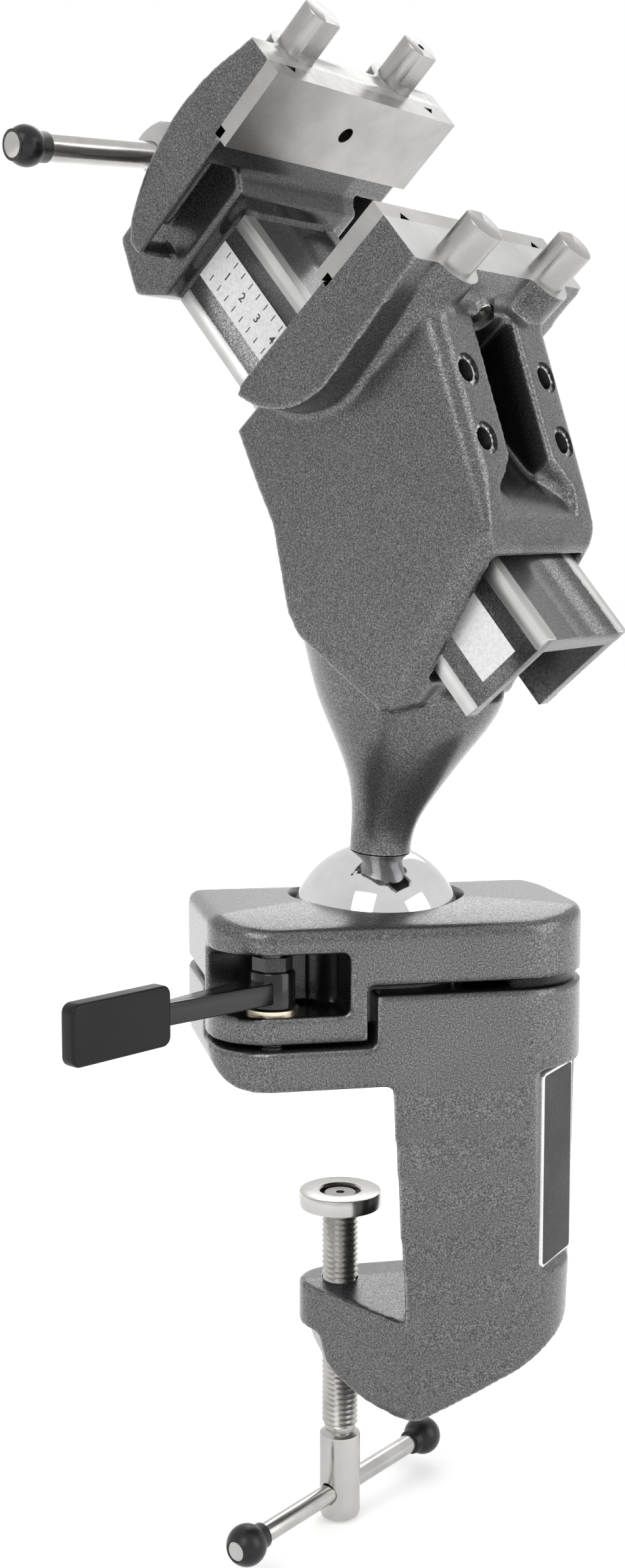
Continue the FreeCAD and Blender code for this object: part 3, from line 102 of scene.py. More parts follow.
def addRange(tree, value, low, high, toLow=0.0, toHigh=1.0):
    node = addNode(tree, "ShaderNodeMapRange", Value=value, From_Min=low, From_Max=high, To_Min=toLow,
                   To_Max=toHigh)
    return node.outputs["Result"]


def addRamp(tree, value, *stops):
    ramp = addNode(tree, "ShaderNodeValToRGB", Fac=value)
    while len(ramp.color_ramp.elements) < len(stops):
        ramp.color_ramp.elements.new(0.5)
    for element, (at, color) in zip(ramp.color_ramp.elements, stops):
        element.position = at
        element.color = (*color, 1.0)
    return ramp.outputs["Color"]


def addMix(tree, share, first, second, blend="MIX"):
    node = addNode(tree, "ShaderNodeMix", data_type="RGBA", blend_type=blend, Factor=share, A=first,
                   B=second)
    return node.outputs["Result"]


def addBump(tree, height, strength, depth):
    node = addNode(tree, "ShaderNodeBump", Height=height, Strength=strength, Distance=depth)
    return node.outputs["Normal"]


def newTree(name, treeKind, given, made):
    # inputs are (title, socket kind, value), outputs are (title, socket kind)
    tree = bpy.data.node_groups.new(name, treeKind)
    for title, kind, value in given:
        socket = tree.interface.new_socket(name=title, in_out="INPUT", socket_type="NodeSocket" + kind)
        if value is not None:
            socket.default_value = value
    for title, kind in made:
        tree.interface.new_socket(name=title, in_out="OUTPUT", socket_type="NodeSocket" + kind)
    return tree, tree.nodes.new("NodeGroupInput").outputs, tree.nodes.new("NodeGroupOutput").inputs


def newShaderGroup(name, control, value, *made):
    # every group reads a place and one number
    given = [("Place", "Vector", None), (control, "Float", value)]
    return newTree(name, "ShaderNodeTree", given, [(title, "Float") for title in made])


def makeSpeckGroup():
    # hammered enamel: fine flakes, a slower cloud under them, and the height of the orange peel
    tree, given, end = newShaderGroup("enamelSpecks", "Flake", 2400.0, "Flakes", "Cloud", "Height")
    place, flake = given["Place"], given["Flake"]
    fine = addNoise(tree, place, flake, 3.0, 0.7)
    coarse = addNoise(tree, place, addMath(tree, "MULTIPLY", flake, 0.33))
    fill(tree, end["Flakes"], addRange(tree, fine, 0.36, 0.64))
    fill(tree, end["Cloud"], addNoise(tree, place, addMath(tree, "MULTIPLY", flake, 0.02)))
    fill(tree, end["Height"], addMath(tree, "ADD", addMath(tree, "MULTIPLY", fine, 0.45), coarse))
    return tree


def makeGrindGroup():
    # grinding or brushing lines along x of the place that comes in, with soft patches
    tree, given, end = newShaderGroup("grindLines", "Lines", 3000.0, "Lines", "Patches")
    place = given["Place"]
    stretched = addRow(tree, "ShaderNodeVectorMath", place, (0.02, 1.0, 1.0), operation="MULTIPLY")[0]
    fill(tree, end["Lines"], addNoise(tree, stretched, given["Lines"], 2.0, 0.6))
    fill(tree, end["Patches"], addNoise(tree, place, 55.0, 3.0, 0.55))
    return tree


def makeWearGroup():
    # bright edges, partly rubbed wear and partly painted highlight: where the surface turns sharply, broken
    # up by noise
    tree, given, end = newShaderGroup("edgeRubAndHighlight", "Reach", 0.52, "RubAndHighlight")
    bend = addNode(tree, "ShaderNodeNewGeometry").outputs["Pointiness"]
    sharp = addMath(tree, "MULTIPLY", addMath(tree, "SUBTRACT", bend, given["Reach"]), 14.0, True)
    broken = addRange(tree, addNoise(tree, given["Place"], 900.0), 0.3, 0.65)
    fill(tree, end["RubAndHighlight"], addMath(tree, "MULTIPLY", sharp, broken))
    return tree


speckGroup = makeSpeckGroup()
grindGroup = makeGrindGroup()
rubAndHighlightGroup = makeWearGroup()


# finishes

def grey(level, blue=0.0):
    return (level, level, level + blue)


def newFinish(name, place=None):
    finish = bpy.data.materials.new(name)
    finish.use_nodes = True
    tree = finish.node_tree
    spot = addNode(tree, "ShaderNodeTexCoord").outputs["Object"]
    if place is not None:
        turned = addNode(tree, "ShaderNodeMapping", vector_type="TEXTURE", Vector=spot,
                         Location=place.translation * mm, Rotation=place.to_euler())
        spot = turned.outputs["Vector"]
    return finish, tree, spot


def useGroup(tree, group, spot, **values):
    return addNode(tree, "ShaderNodeGroup", node_tree=group, Place=spot, **values).outputs


def dress(tree, **values):
    # sets or links inputs of the finish's own shader
    shader = tree.nodes["Principled BSDF"]
    for title, value in values.items():
        fill(tree, shader.inputs[title.replace("_", " ")], value)


def makeEnamel(name, dark, middle, light, flake, roughness, metallic=0.75):
    finish, tree, spot = newFinish(name)
    specks = useGroup(tree, speckGroup, spot, Flake=flake)
    tone = addRamp(tree, specks["Flakes"], (0.0, dark), (0.5, middle), (1.0, light))
    cloud = addRamp(tree, specks["Cloud"], (0.3, grey(0.9)), (0.7, grey(1.0)))
    tone = addMix(tree, 1.0, tone, cloud, "MULTIPLY")
    # sharp edges turn lighter: rubbed wear and painted highlight
    tone = addMix(tree, useGroup(tree, rubAndHighlightGroup, spot, Reach=0.53)["RubAndHighlight"], tone, grey(0.7))
    # painted shade: the colour falls to near black where the recess attribute is high, in recesses, pockets
    # and gaps
    recess = addNode(tree, "ShaderNodeAttribute", attribute_name="recess").outputs["Fac"]
    tone = addMix(tree, addMath(tree, "MULTIPLY", recess, 0.85), tone, grey(0.006, 0.0005))
    dress(tree, Base_Color=tone, Metallic=metallic, Coat_Weight=0.3, Coat_Roughness=0.2,
          Roughness=addRange(tree, specks["Flakes"], 0.0, 1.0, roughness + 0.08, roughness - 0.08),
          Normal=addBump(tree, specks["Height"], 0.25, 0.00012))
    return finish


def makeMetal(name, dark, light, roughness, lines=3000.0, place=None, bump=0.06):
    finish, tree, spot = newFinish(name, place)
    grind = useGroup(tree, grindGroup, spot, Lines=lines)
    patches = addRamp(tree, grind["Patches"], (0.32, dark), (0.68, light))
    dress(tree, Metallic=1.0,
          Base_Color=addMix(tree, addRange(tree, grind["Lines"], 0.4, 0.75, 0.0, 0.35), patches, light),
          Roughness=addRange(tree, grind["Lines"], 0.3, 0.7, roughness * 0.8, roughness * 1.2),
          Normal=addBump(tree, grind["Lines"], bump, 0.00004))
    return finish


def makeMoulded(name, dark, light, roughness, coat=0.0, grain=1500.0, depth=0.00003, strength=0.15,
                sheen=0.5):
    finish, tree, spot = newFinish(name)
    cloud = addNoise(tree, spot, 60.0, 3.0)
    # edges turn lighter: rubbed wear and painted highlight, as on the lever and grip rims
    rubAndHighlight = useGroup(tree, rubAndHighlightGroup, spot, Reach=0.55)["RubAndHighlight"]
    wornAndHighlit = tuple(min(1.0, part * 2.2 + 0.02) for part in light)
    dress(tree, Coat_Weight=coat, Coat_Roughness=0.08, Specular_IOR_Level=sheen,
          Base_Color=addMix(tree, rubAndHighlight, addRamp(tree, cloud, (0.35, dark), (0.7, light)), wornAndHighlit),
          Roughness=addRange(tree, cloud, 0.3, 0.7, roughness * 0.85, roughness * 1.15),
          Normal=addBump(tree, addNoise(tree, spot, grain), strength, depth))
    return finish


enamel = makeEnamel("hammeredEnamel", grey(0.038, 0.001), grey(0.108, 0.002), grey(0.25, 0.003),
                    2000.0, 0.29)
# a near-black copy of the enamel: painted shade for tunnels, channels, counterbores and sinks
paintedShadeEnamel = makeEnamel("shadedEnamel", grey(0.01, 0.001), grey(0.028, 0.001), grey(0.09, 0.001),
                        2500.0, 0.36, 0.3)
groundSteel = makeMetal("groundSteel", (0.34, 0.33, 0.32), (0.43, 0.42, 0.41), 0.32, 2600.0, headPlace)
jawTopSteel = makeMetal("milledSteel", grey(0.46, -0.01), grey(0.56, -0.01), 0.42, 1800.0, headPlace, 0.03)
nickelSteel = makeMetal("brushedNickel", (0.40, 0.39, 0.375), (0.52, 0.51, 0.49), 0.22, 2600.0, None, 0.03)
postSteel = makeMetal("turnedNickel", (0.33, 0.32, 0.31), (0.39, 0.38, 0.37), 0.30, 1600.0,
                      headPlace @ turnBy(90, "Y"), 0.005)
chrome = makeMetal("polishedChrome", grey(0.55, 0.01), grey(0.66, 0.01), 0.045, 300.0, None, 0.0)
darkSteel = makeMetal("oiledSteel", (0.16, 0.155, 0.15), (0.30, 0.295, 0.285), 0.34, 1800.0)
threadSteel = makeMetal("cutThread", (0.40, 0.39, 0.375), (0.60, 0.59, 0.57), 0.26, 1800.0)
# near-black steel: painted shade inside holes, grooves and notches
paintedShadeSteel = makeMetal("shadedSteel", grey(0.012), grey(0.035), 0.5, 1800.0)
brassWasher = makeMetal("zincedBrass", (0.62, 0.55, 0.40), (0.78, 0.71, 0.55), 0.3, 1500.0)
plateRim = makeMetal("plateRim", grey(0.66), grey(0.78), 0.25)
lacquer = makeMoulded("blackLacquer", grey(0.004, 0.001), grey(0.009, 0.001), 0.2, 0.3, 500.0, sheen=0.3)
gripPlastic = makeMoulded("paddlePlastic", grey(0.006, 0.001), grey(0.012, 0.001), 0.3, grain=1800.0,
                          sheen=0.2)
knobPlastic = makeMoulded("knobPlastic", grey(0.006, 0.001), grey(0.013, 0.001), 0.3, grain=900.0,
                          sheen=0.35)
plateBlack = makeMoulded("plateBlack", grey(0.006, 0.001), grey(0.012, 0.001), 0.4, grain=2500.0,
                         sheen=0.15)
printInk = makeMoulded("printInk", grey(0.012, 0.001), grey(0.03, 0.001), 0.5)
seatPlastic = makeMoulded("seatPlastic", (0.72, 0.71, 0.66), (0.82, 0.81, 0.77), 0.5)
labelFilm = makeMoulded("labelFilm", grey(0.8, -0.005), grey(0.84, -0.005), 0.34, 0.2, 700.0, 0.00001, 0.05)
castFinishes = [enamel, jawTopSteel, paintedShadeSteel, paintedShadeEnamel]
# places in castFinishes; the last two are painted shade, on steel in holes and on enamel in hollows
painted, milled, holeShade, shaded = range(len(castFinishes))
print("ball vise: finishes made")


# mesh helpers, all in millimetres until a piece is put in its place

def lathe(profile, steps=72, closed=False):
    # profile lists (radius, height); it turns round the z axis
    work = bmesh.new()
    rings = []
    for radius, height in profile:
        count = steps if radius > 1e-6 else 1
        angles = [math.tau * step / steps for step in range(count)]
        rings.append([work.verts.new((radius * math.cos(angle), radius * math.sin(angle), height))
                      for angle in angles])
    pairs = list(zip(rings, rings[1:]))
    if closed:
        pairs.append((rings[-1], rings[0]))
    for lower, upper in pairs:
        for step in range(steps):
            after = (step + 1) % steps
            corners = [lower[step % len(lower)], lower[after % len(lower)],
                       upper[after % len(upper)], upper[step % len(upper)]]
            corners = list(dict.fromkeys(corners))
            if len(corners) > 2:
                work.faces.new(corners)
    return work


def rod(radius, start, end, steps=32):
    return lathe([(0, start), (radius, start), (radius, end), (0, end)], steps)


def prism(outline, start, end, across="y"):
    # outline lists (x, y) across z, (x, z) across y, or (y, z) across x
    order = {"z": (0, 1, 2), "y": (0, 2, 1), "x": (2, 0, 1)}[across]
    work = bmesh.new()
    loops = [[work.verts.new([(a, b, level)[axis] for axis in order]) for a, b in outline]
             for level in (start, end)]
    count = len(outline)
    for index in range(count):
        after = (index + 1) % count
        work.faces.new((loops[0][index], loops[0][after], loops[1][after], loops[1][index]))
    work.faces.new(loops[0])
    work.faces.new(loops[1])
    return work


def block(low, high):
    outline = [(low[0], low[1]), (high[0], low[1]), (high[0], high[1]), (low[0], high[1])]
    return prism(outline, low[2], high[2], "z")


def roundedOutline(left, right, low, high, bend):
    outline = []
    for x, z, first in ((right - bend, high - bend, 0), (left + bend, high - bend, 90),
                        (left + bend, low + bend, 180), (right - bend, low + bend, 270)):
        for step in range(7):
            angle = math.radians(first + 15 * step)
            outline.append((x + bend * math.cos(angle), z + bend * math.sin(angle)))
    return outline


def outward(work):
    bmesh.ops.recalc_face_normals(work, faces=work.faces)
    return work


def bevelEdges(work, width, steps=2, chosen=None):
    edges = [edge for edge in work.edges if len(edge.link_faces) == 2 and edge.calc_face_angle(0) > 0.5
             and (chosen is None or chosen(edge))]
    bmesh.ops.bevel(work, geom=edges, offset=width, segments=steps, profile=0.5, affect="EDGES",
                    clamp_overlap=True)
    return work


def placed(work, place):
    work.transform(place)
    return work


def along(start, direction):
    # the place of a form whose own z runs from start along direction
    turn = Vector((0, 0, 1)).rotation_difference(Vector(direction)).to_matrix().to_4x4()
    return Matrix.Translation(start) @ turn


def merge(parts):
    # joins several forms, each with its own place
    whole = bmesh.new()
    for work, place in parts:
        mesh = bpy.data.meshes.new("part")
        outward(work).to_mesh(mesh)
        work.free()
        mesh.transform(place)
        whole.from_mesh(mesh)
        bpy.data.meshes.remove(mesh)
    return whole


def newObject(name, data):
    item = bpy.data.objects.new(name, data)
    bpy.context.scene.collection.objects.link(item)
    return item


def looseObject(name, work, finishes=(), finishIndex=0):
    for face in outward(work).faces:
        face.material_index = finishIndex
    mesh = bpy.data.meshes.new(name)
    work.to_mesh(mesh)
    work.free()
    for finish in finishes:
        mesh.materials.append(finish)
    return newObject(name, mesh)


def settle(item):
    # turns the modifiers into plain mesh
    graph = bpy.context.evaluated_depsgraph_get()
    mesh = bpy.data.meshes.new_from_object(item.evaluated_get(graph))
    item.modifiers.clear()
    item.data = mesh
    return item


def finishPiece(item, place, body, nodes, angle=35):
    item.data.transform(Matrix.Scale(mm, 4) @ place)
    for face in item.data.polygons:
        face.use_smooth = True
    item.data.set_sharp_from_angle(angle=math.radians(angle))
    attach(item, body)
    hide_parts(*nodes)
    return item


def makePiece(name, work, finish, place, body, nodes, angle=35):
    return finishPiece(looseObject(name, work, [finish]), place, body, nodes, angle)


def cadCopy(node, place):
    work = bmesh.new()
    work.from_mesh(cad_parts[node].data)
    bmesh.ops.remove_doubles(work, verts=work.verts, dist=2e-6)
    return placed(work, place.inverted() @ Matrix.Scale(1 / mm, 4))


def hullOf(work, chosen):
    # a plug that fills a hole flush: the hull of the corners on its wall
    plug = bmesh.new()
    for vert in work.verts:
        if chosen(vert.co):
            plug.verts.new(vert.co)
    found = bmesh.ops.convex_hull(plug, input=plug.verts)
    spare = {part for part in found["geom_interior"] + found["geom_unused"]
             if isinstance(part, bmesh.types.BMVert)}
    bmesh.ops.delete(plug, geom=list(spare), context="VERTS")
    return plug


def onWall(start, direction, radius):
    start, direction = Vector(start), Vector(direction).normalized()
    return lambda spot: abs((spot - start).cross(direction).length - radius) < 0.08


def castSkin(name, work, plugs, casting):
    # the rough casting: one closed skin over the form and its plugs, with every edge softened
    item = looseObject(name, merge([(form, Matrix()) for form in [work] + plugs]), castFinishes)
    skin = item.modifiers.new("skin", "REMESH")
    skin.mode = "VOXEL"
    skin.voxel_size = casting["grid"]
    soften = item.modifiers.new("soften", "SMOOTH")
    soften.factor = 0.5
    soften.iterations = casting["softening"]
    return settle(item)


def machine(item, cuts):
    # takes each cutter away; a cutter's number picks the finish of the faces it leaves
    for work, place, finishIndex in cuts:
        cutter = looseObject("cutter", work, list(item.data.materials), finishIndex)
        cutter.data.transform(place)
        away = item.modifiers.new("away", "BOOLEAN")
        away.operation = "DIFFERENCE"
        away.solver = "MANIFOLD"
        away.object = cutter
        settle(item)
        bpy.data.objects.remove(cutter)
    return item


def drill(radius, start, end, rim=0.0, finishIndex=holeShade):
    # a round cutter from its mouth inwards, with a chamfer of the given width at the mouth; by default its
    # walls take the near-black steel of painted shade
    start, end, before = Vector(start), Vector(end), -12
    depth = (end - start).length
    if rim == 0:
        return rod(radius, before, depth, 48), along(start, end - start), finishIndex
    wide = radius + rim
    profile = [(0, before), (wide, before), (wide, 0), (radius, rim), (radius, depth), (0, depth)]
    return lathe(profile, 48), along(start, end - start), finishIndex


def thinned(item, most):
    # fewer faces where the skin is nearly flat
    count = sum(len(face.vertices) - 2 for face in item.data.polygons)
    if count > most:
        fewer = item.modifiers.new("fewer", "DECIMATE")
        fewer.ratio = most / count
        settle(item)
    return item


def shade(item, depthAt):
    # how much painted shade each point gets, 0 to 1, as the recess attribute for the enamel to read
    recess = item.data.attributes.new("recess", "FLOAT", "POINT")
    normals = item.data.vertex_normals
    for index, vert in enumerate(item.data.vertices):
        recess.data[index].value = depthAt(vert.co, normals[index].vector)
    return item


def limited(value):
    return min(1.0, max(0.0, value))


def inside(spot, low, high, edge=1.0):
    # 1 in a box, falling to 0 over a short way outside it
    away = max(max(low[axis] - spot[axis], spot[axis] - high[axis]) for axis in range(3))
    return limited(1.0 - away / edge)


# geometry node trees for what repeats

def newShapeTree(name, given):
    given = given + [("Finish", "Material", None)]
    return newTree(name, "GeometryNodeTree", given, [("Geometry", "Geometry")])


def endShapeTree(tree, given, end, shape):
    real = addNode(tree, "GeometryNodeRealizeInstances", Geometry=shape)
    coat = addNode(tree, "GeometryNodeSetMaterial", Geometry=real.outputs[0], Material=given["Finish"])
    fill(tree, end["Geometry"], coat.outputs["Geometry"])
    return tree


def makeRowTree():
    # one form repeated along a straight row
    tree, given, end = newShapeTree("evenRow", [
        ("Form", "Object", None), ("Count", "Int", 2), ("Start", "Vector", (0, 0, 0)),
        ("Step", "Vector", (1, 0, 0))])
    row = addNode(tree, "GeometryNodeMeshLine", Count=given["Count"], Start_Location=given["Start"],
                  Offset=given["Step"])
    form = addNode(tree, "GeometryNodeObjectInfo", Object=given["Form"])
    spread = addNode(tree, "GeometryNodeInstanceOnPoints", Points=row.outputs["Mesh"],
                     Instance=form.outputs["Geometry"])
    return endShapeTree(tree, given, end, spread.outputs["Instances"])


def makeThreadTree():
    # a screw thread: a ridge that winds round a core
    tree, given, end = newShapeTree("screwThread", [
        (title, "Float", value) for title, value in
        (("Radius", 6.0), ("Pitch", 2.0), ("Length", 20.0), ("Ridge", 0.8))])
    length, radius = given["Length"], given["Radius"]
    turns = addMath(tree, "DIVIDE", length, given["Pitch"])
    spiral = addNode(tree, "GeometryNodeCurveSpiral", Resolution=36, Rotations=turns, Height=length,
                     Start_Radius=radius, End_Radius=radius)
    upright = addNode(tree, "GeometryNodeSetCurveNormal", mode="Z_UP", Curve=spiral.outputs["Curve"])
    ridge = addNode(tree, "GeometryNodeCurvePrimitiveCircle", mode="RADIUS", Resolution=4,
                    Radius=given["Ridge"])
    sweep = addNode(tree, "GeometryNodeCurveToMesh", Fill_Caps=True, Curve=upright.outputs["Curve"],
                    Profile_Curve=ridge.outputs["Curve"])
    return endShapeTree(tree, given, end, sweep.outputs["Mesh"])


rowTree = makeRowTree()
threadTree = makeThreadTree()


def grown(name, tree, **values):
    # runs a tree and gives back its plain mesh
    item = newObject(name, bpy.data.meshes.new(name))
    growth = item.modifiers.new("growth", "NODES")
    growth.node_group = tree
    for socket in tree.interface.items_tree:
        if socket.in_out == "INPUT" and socket.name in values:
            growth[socket.identifier] = values[socket.name]
    return settle(item)


def repeated(name, work, count, start, step, finish):
    form = looseObject(name + "Form", work)
    row = grown(name, rowTree, Form=form, Count=count, Start=start, Step=step, Finish=finish)
    bpy.data.objects.remove(form)
    return row


def joined(name, items):
    # several objects become one, each keeping its finishes
    finishes = []
    whole = bmesh.new()
    for item in items:
        shift = {}
        for index, finish in enumerate(item.data.materials):
            if finish not in finishes:
                finishes.append(finish)
            shift[index] = finishes.index(finish)
        for face in item.data.polygons:
            face.material_index = shift.get(face.material_index, 0)
        whole.from_mesh(item.data)
        bpy.data.objects.remove(item)
    mesh = bpy.data.meshes.new(name)
    whole.to_mesh(mesh)
    whole.free()
    for finish in finishes:
        mesh.materials.append(finish)
    return newObject(name, mesh)


# clamp bracket
bracketSizes = {
    "grid": 1.2, "softening": 5, "faces": 150000, "spindleX": -13.0, "lowerJawTop": -82.5,
    "boreRadius": 6.75, "boreTop": -70.0, "cavityRadius": 7.9, "cavityTop": -99.5, "cutFoot": -150.0,
    "capScrewX": 41.0, "capScrewY": (-10.0, 26.0), "sinkRadius": 5.5, "sinkDepth": 10.0, "rim": 0.7,
    "splitFoot": 30.0}


def makeBracket(sizes):
    work = cadCopy("clamp_bracket", tablePlace)
    axis, up = (sizes["spindleX"], 0, 0), (0, 0, 1)
    bores = ((sizes["boreRadius"], sizes["boreTop"]), (sizes["cavityRadius"], sizes["cavityTop"]))
    plugs = [hullOf(work, lambda spot, wall=onWall(axis, up, radius): wall(spot)
                    and spot.z < sizes["lowerJawTop"] + 0.1) for radius, top in bores]
    mouths = [Vector((sizes["capScrewX"], y, 0)) for y in sizes["capScrewY"]]
    plugs += [hullOf(work, lambda spot, wall=onWall(mouth, up, sizes["sinkRadius"]): wall(spot)
                     and -0.1 < spot.z < sizes["sinkDepth"] + 4) for mouth in mouths]
    item = castSkin("clampBracket", work, plugs, sizes)
    # the bores take the near-black steel of painted shade
    cuts = [(rod(radius, top, sizes["cutFoot"], 64), moveTo(*axis), holeShade) for radius, top in bores]
    cuts += [drill(sizes["sinkRadius"], mouth, mouth + Vector((0, 0, sizes["sinkDepth"])), sizes["rim"])
             for mouth in mouths]
    thinned(machine(item, cuts), sizes["faces"])
    # painted shade on the upward faces in the gap under the cap
    shade(item, lambda spot, normal: limited(spot.z - sizes["splitFoot"]) * limited(normal.z * 1.5))
    return finishPiece(item, tablePlace, "base", ["clamp_bracket"], 50)


makeBracket(bracketSizes)
print("ball vise: clamp bracket cast")

# socket cap
capSizes = {
    "grid": 1.1, "softening": 6, "faces": 120000, "mouthRadius": 31.9, "ballRadius": 31.05,
    "mouthTop": 60.6, "skirtBottom": 31.0, "splitTop": 37.0,
    "pocket": ((-63.5, -43.5, 25.0), (-19.0, -20.0, 47.0))}


def makeCap(sizes):
    work = cadCopy("socket_cap", tablePlace)
    ball, centre = sizes["ballRadius"], stance["ballHeight"]
    top, wide = sizes["mouthTop"], sizes["mouthRadius"]
    socket = hullOf(work, lambda spot: spot.xy.length < wide + 1.2 and spot.z > sizes["splitTop"] - 1)
    item = castSkin("socketCap", work, [socket], sizes)
    profile = [(0, sizes["skirtBottom"]), (ball, sizes["skirtBottom"]), (ball, centre)]
    profile += [(math.sqrt(ball ** 2 - lift ** 2), centre + lift) for lift in (2, 4, 6)]
    profile += [(wide - 0.5, top - 2.2), (wide - 0.2, top - 0.9), (wide + 0.3, top - 0.3),
                (wide + 1.2, top + 0.15), (wide + 1.3, top + 6), (0, top + 6)]
    thinned(machine(item, [(lathe(profile, 128), Matrix(), painted)]), sizes["faces"])
    # painted shade in the lever pocket and on the underside faces at the gap above the bracket
    shade(item, lambda spot, normal: max(inside(spot, *sizes["pocket"], 0.6),
                                         limited(sizes["splitTop"] - spot.z) * limited(normal.z * -1.5)))
    return finishPiece(item, tablePlace, "base", ["socket_cap"], 50)


makeCap(capSizes)
print("ball vise: socket cap cast")

# what both jaws of the head share: machined tops, seats, post holes and plate screws
headSizes = {
    "top": 187.0, "raise": 3.0, "stock": 4.0, "seatFoot": 160.5, "groove": 3.5, "postW": 27.7,
    "postPlug": 7.0, "postRadius": 5.05, "postDepth": 14.5, "plateHoleV": 172.0, "plateSink": 5.1,
    "plateBore": 3.1, "halfWidth": 60.0}


def lying(work, v):
    # turns a form from z onto the u axis, at the given height
    return placed(work, moveTo(0, 0, v) @ turnBy(90, "Y"))


def addStock(work, seat, outward):
    # the top and the plate's seat stand proud until they are machined
    for vert in work.verts:
        if vert.co.z > headSizes["top"] - 0.05:
            vert.co.z += headSizes["raise"]
        if abs(vert.co.x - seat) < 0.06 and vert.co.z > headSizes["seatFoot"] - 0.1:
            vert.co.x += headSizes["stock"] * outward


def slab(start, end, low, high, finishIndex):
    # a cutter that goes right across the head
    half = headSizes["halfWidth"]
    return block((start, -half, low), (end, half, high)), Matrix(), finishIndex


def postPlugs(u, depth):
    top = headSizes["top"]
    return [placed(rod(headSizes["postPlug"], top - depth, top + headSizes["raise"]),
                   moveTo(u, side * headSizes["postW"])) for side in (-1, 1)]


def postHoles(u):
    mouths = [Vector((u, side * headSizes["postW"], headSizes["top"])) for side in (-1, 1)]
    return [drill(headSizes["postRadius"], mouth, mouth - Vector((0, 0, headSizes["postDepth"])))
            for mouth in mouths]


def plateBores(sinkStart, sinkEnd, boreStart, boreEnd):
    spots = [(u, 0, headSizes["plateHoleV"]) for u in (sinkStart, sinkEnd, boreStart, boreEnd)]
    # the sink takes the near-black enamel: painted shade
    return [drill(headSizes["plateSink"], spots[0], spots[1], 0.5, shaded),
            drill(headSizes["plateBore"], spots[2], spots[3])]


# vise body
bodySizes = {
    "grid": 1.2, "softening": 5, "faces": 170000, "seat": -154.2, "lipFront": -157.0,
    "tunnelHalf": 25.6, "tunnelLow": 95.9, "tunnelHigh": 136.1, "slopeAngle": 22.4, "faceRadius": 5.5,
    "faceDepth": 1.2, "gibBore": 3.6, "gibDepth": 24.0, "gibAcross": 23.9,
    "gibMouths": ((-110.7, 167.87), (-89.62, 159.18)), "postU": -138.0, "slotWall": -131.0,
    "sinkDepth": 7.0, "slot": ((-131.5, -12.7, 140.0), (-58.0, 12.7, 190.0)),
    "nutScrews": (-136.0, -116.0), "nutSink": 5.4, "nutBore": 3.1, "nutSinkEnds": (60.0, 89.0),
    "nutBoreEnds": (80.0, 97.0), "neckPlug": (11.0, 24.0, 44.0, 64), "platePlug": (5.3, -148.0, -131.0),
    "footRadius": 31.3, "footTop": 20.0}


def makeBody(sizes):
    work = cadCopy("vise_body", headPlace)
    half, low, high = sizes["tunnelHalf"], sizes["tunnelLow"], sizes["tunnelHigh"]
    seat, foot, top, wall = sizes["seat"], headSizes["seatFoot"], headSizes["top"], sizes["slotWall"]
    slope = math.radians(sizes["slopeAngle"])
    down = Vector((-math.sin(slope), 0, -math.cos(slope)))
    mouths = [Vector((u, side * sizes["gibAcross"], v)) for side in (-1, 1) for u, v in sizes["gibMouths"]]

    def onTunnel(spot):
        inSection = abs(spot.y) < half + 0.05 and low - 0.05 < spot.z < high + 0.05
        onSide = abs(abs(spot.y) - half) < 0.05 or abs(spot.z - low) < 0.05 or abs(spot.z - high) < 0.05
        return inSection and onSide

    plugs = [hullOf(work, onTunnel)]
    plugs += [hullOf(work, onWall(mouth, down, radius)) for mouth in mouths
              for radius in (sizes["faceRadius"], sizes["gibBore"] - 0.05)]
    plugs += [hullOf(work, lambda spot, screw=onWall((u, 0, 0), (0, 0, 1), sizes["nutSink"]): screw(spot)
                     and spot.z < low + 1.1) for u in sizes["nutScrews"]]
    plugs.append(lying(rod(*sizes["platePlug"]), headSizes["plateHoleV"]))
    plugs.append(placed(rod(*sizes["neckPlug"]), stemInHead))
    plugs += postPlugs(sizes["postU"], 20)
    addStock(work, seat, -1)
    item = castSkin("viseBody", work, plugs, sizes)

    ball = sizes["footRadius"]
    bowl = [(ball * math.sin(math.radians(angle)), ball * math.cos(math.radians(angle)))
            for angle in range(60, 0, -4)]
    cuts = [
        slab(-200, -60, top, top + 20, milled),
        slab(-180, seat, foot, top + 9, milled),
        slab(-180, sizes["lipFront"], foot - 6, top + 9, milled),
        # the groove under the plate and the tunnel take near-black finishes: painted shade
        slab(sizes["lipFront"] - 1, seat, foot - headSizes["groove"], foot + 0.5, holeShade),
        (block((-200, -half, low), (0, half, high)), Matrix(), shaded),
        (lathe([(0, sizes["footTop"])] + bowl + [(0, ball)], 96), stemInHead, painted),
    ]
    for mouth in mouths:
        seated = mouth + down * sizes["faceDepth"]
        # the gib counterbores take the near-black enamel: painted shade
        cuts.append(drill(sizes["faceRadius"], mouth, seated, 0.0, shaded))
        cuts.append(drill(sizes["gibBore"], seated, mouth + down * sizes["gibDepth"], 0.3))
    cuts += postHoles(sizes["postU"])
    cuts += plateBores(wall, wall - sizes["sinkDepth"], wall, -160)
    for u in sizes["nutScrews"]:
        for hole in ("nutSink", "nutBore"):
            cuts.append(drill(sizes[hole], *[(u, 0, v) for v in sizes[hole + "Ends"]]))
    thinned(machine(item, cuts), sizes["faces"])
    firstU, firstV = sizes["gibMouths"][0]

    # painted shade, deeper below the crest line inside the slot between the pillars
    def slotDepth(spot, normal):
        crest = firstV + (firstU - spot.x) * math.tan(slope)
        return limited((crest - 3.0 - spot.z) / 6) * inside(spot, *sizes["slot"], 0.5)

    shade(item, slotDepth)
    return finishPiece(item, headPlace, "head", ["vise_body"], 50)


makeBody(bodySizes)
print("ball vise: vise body cast")

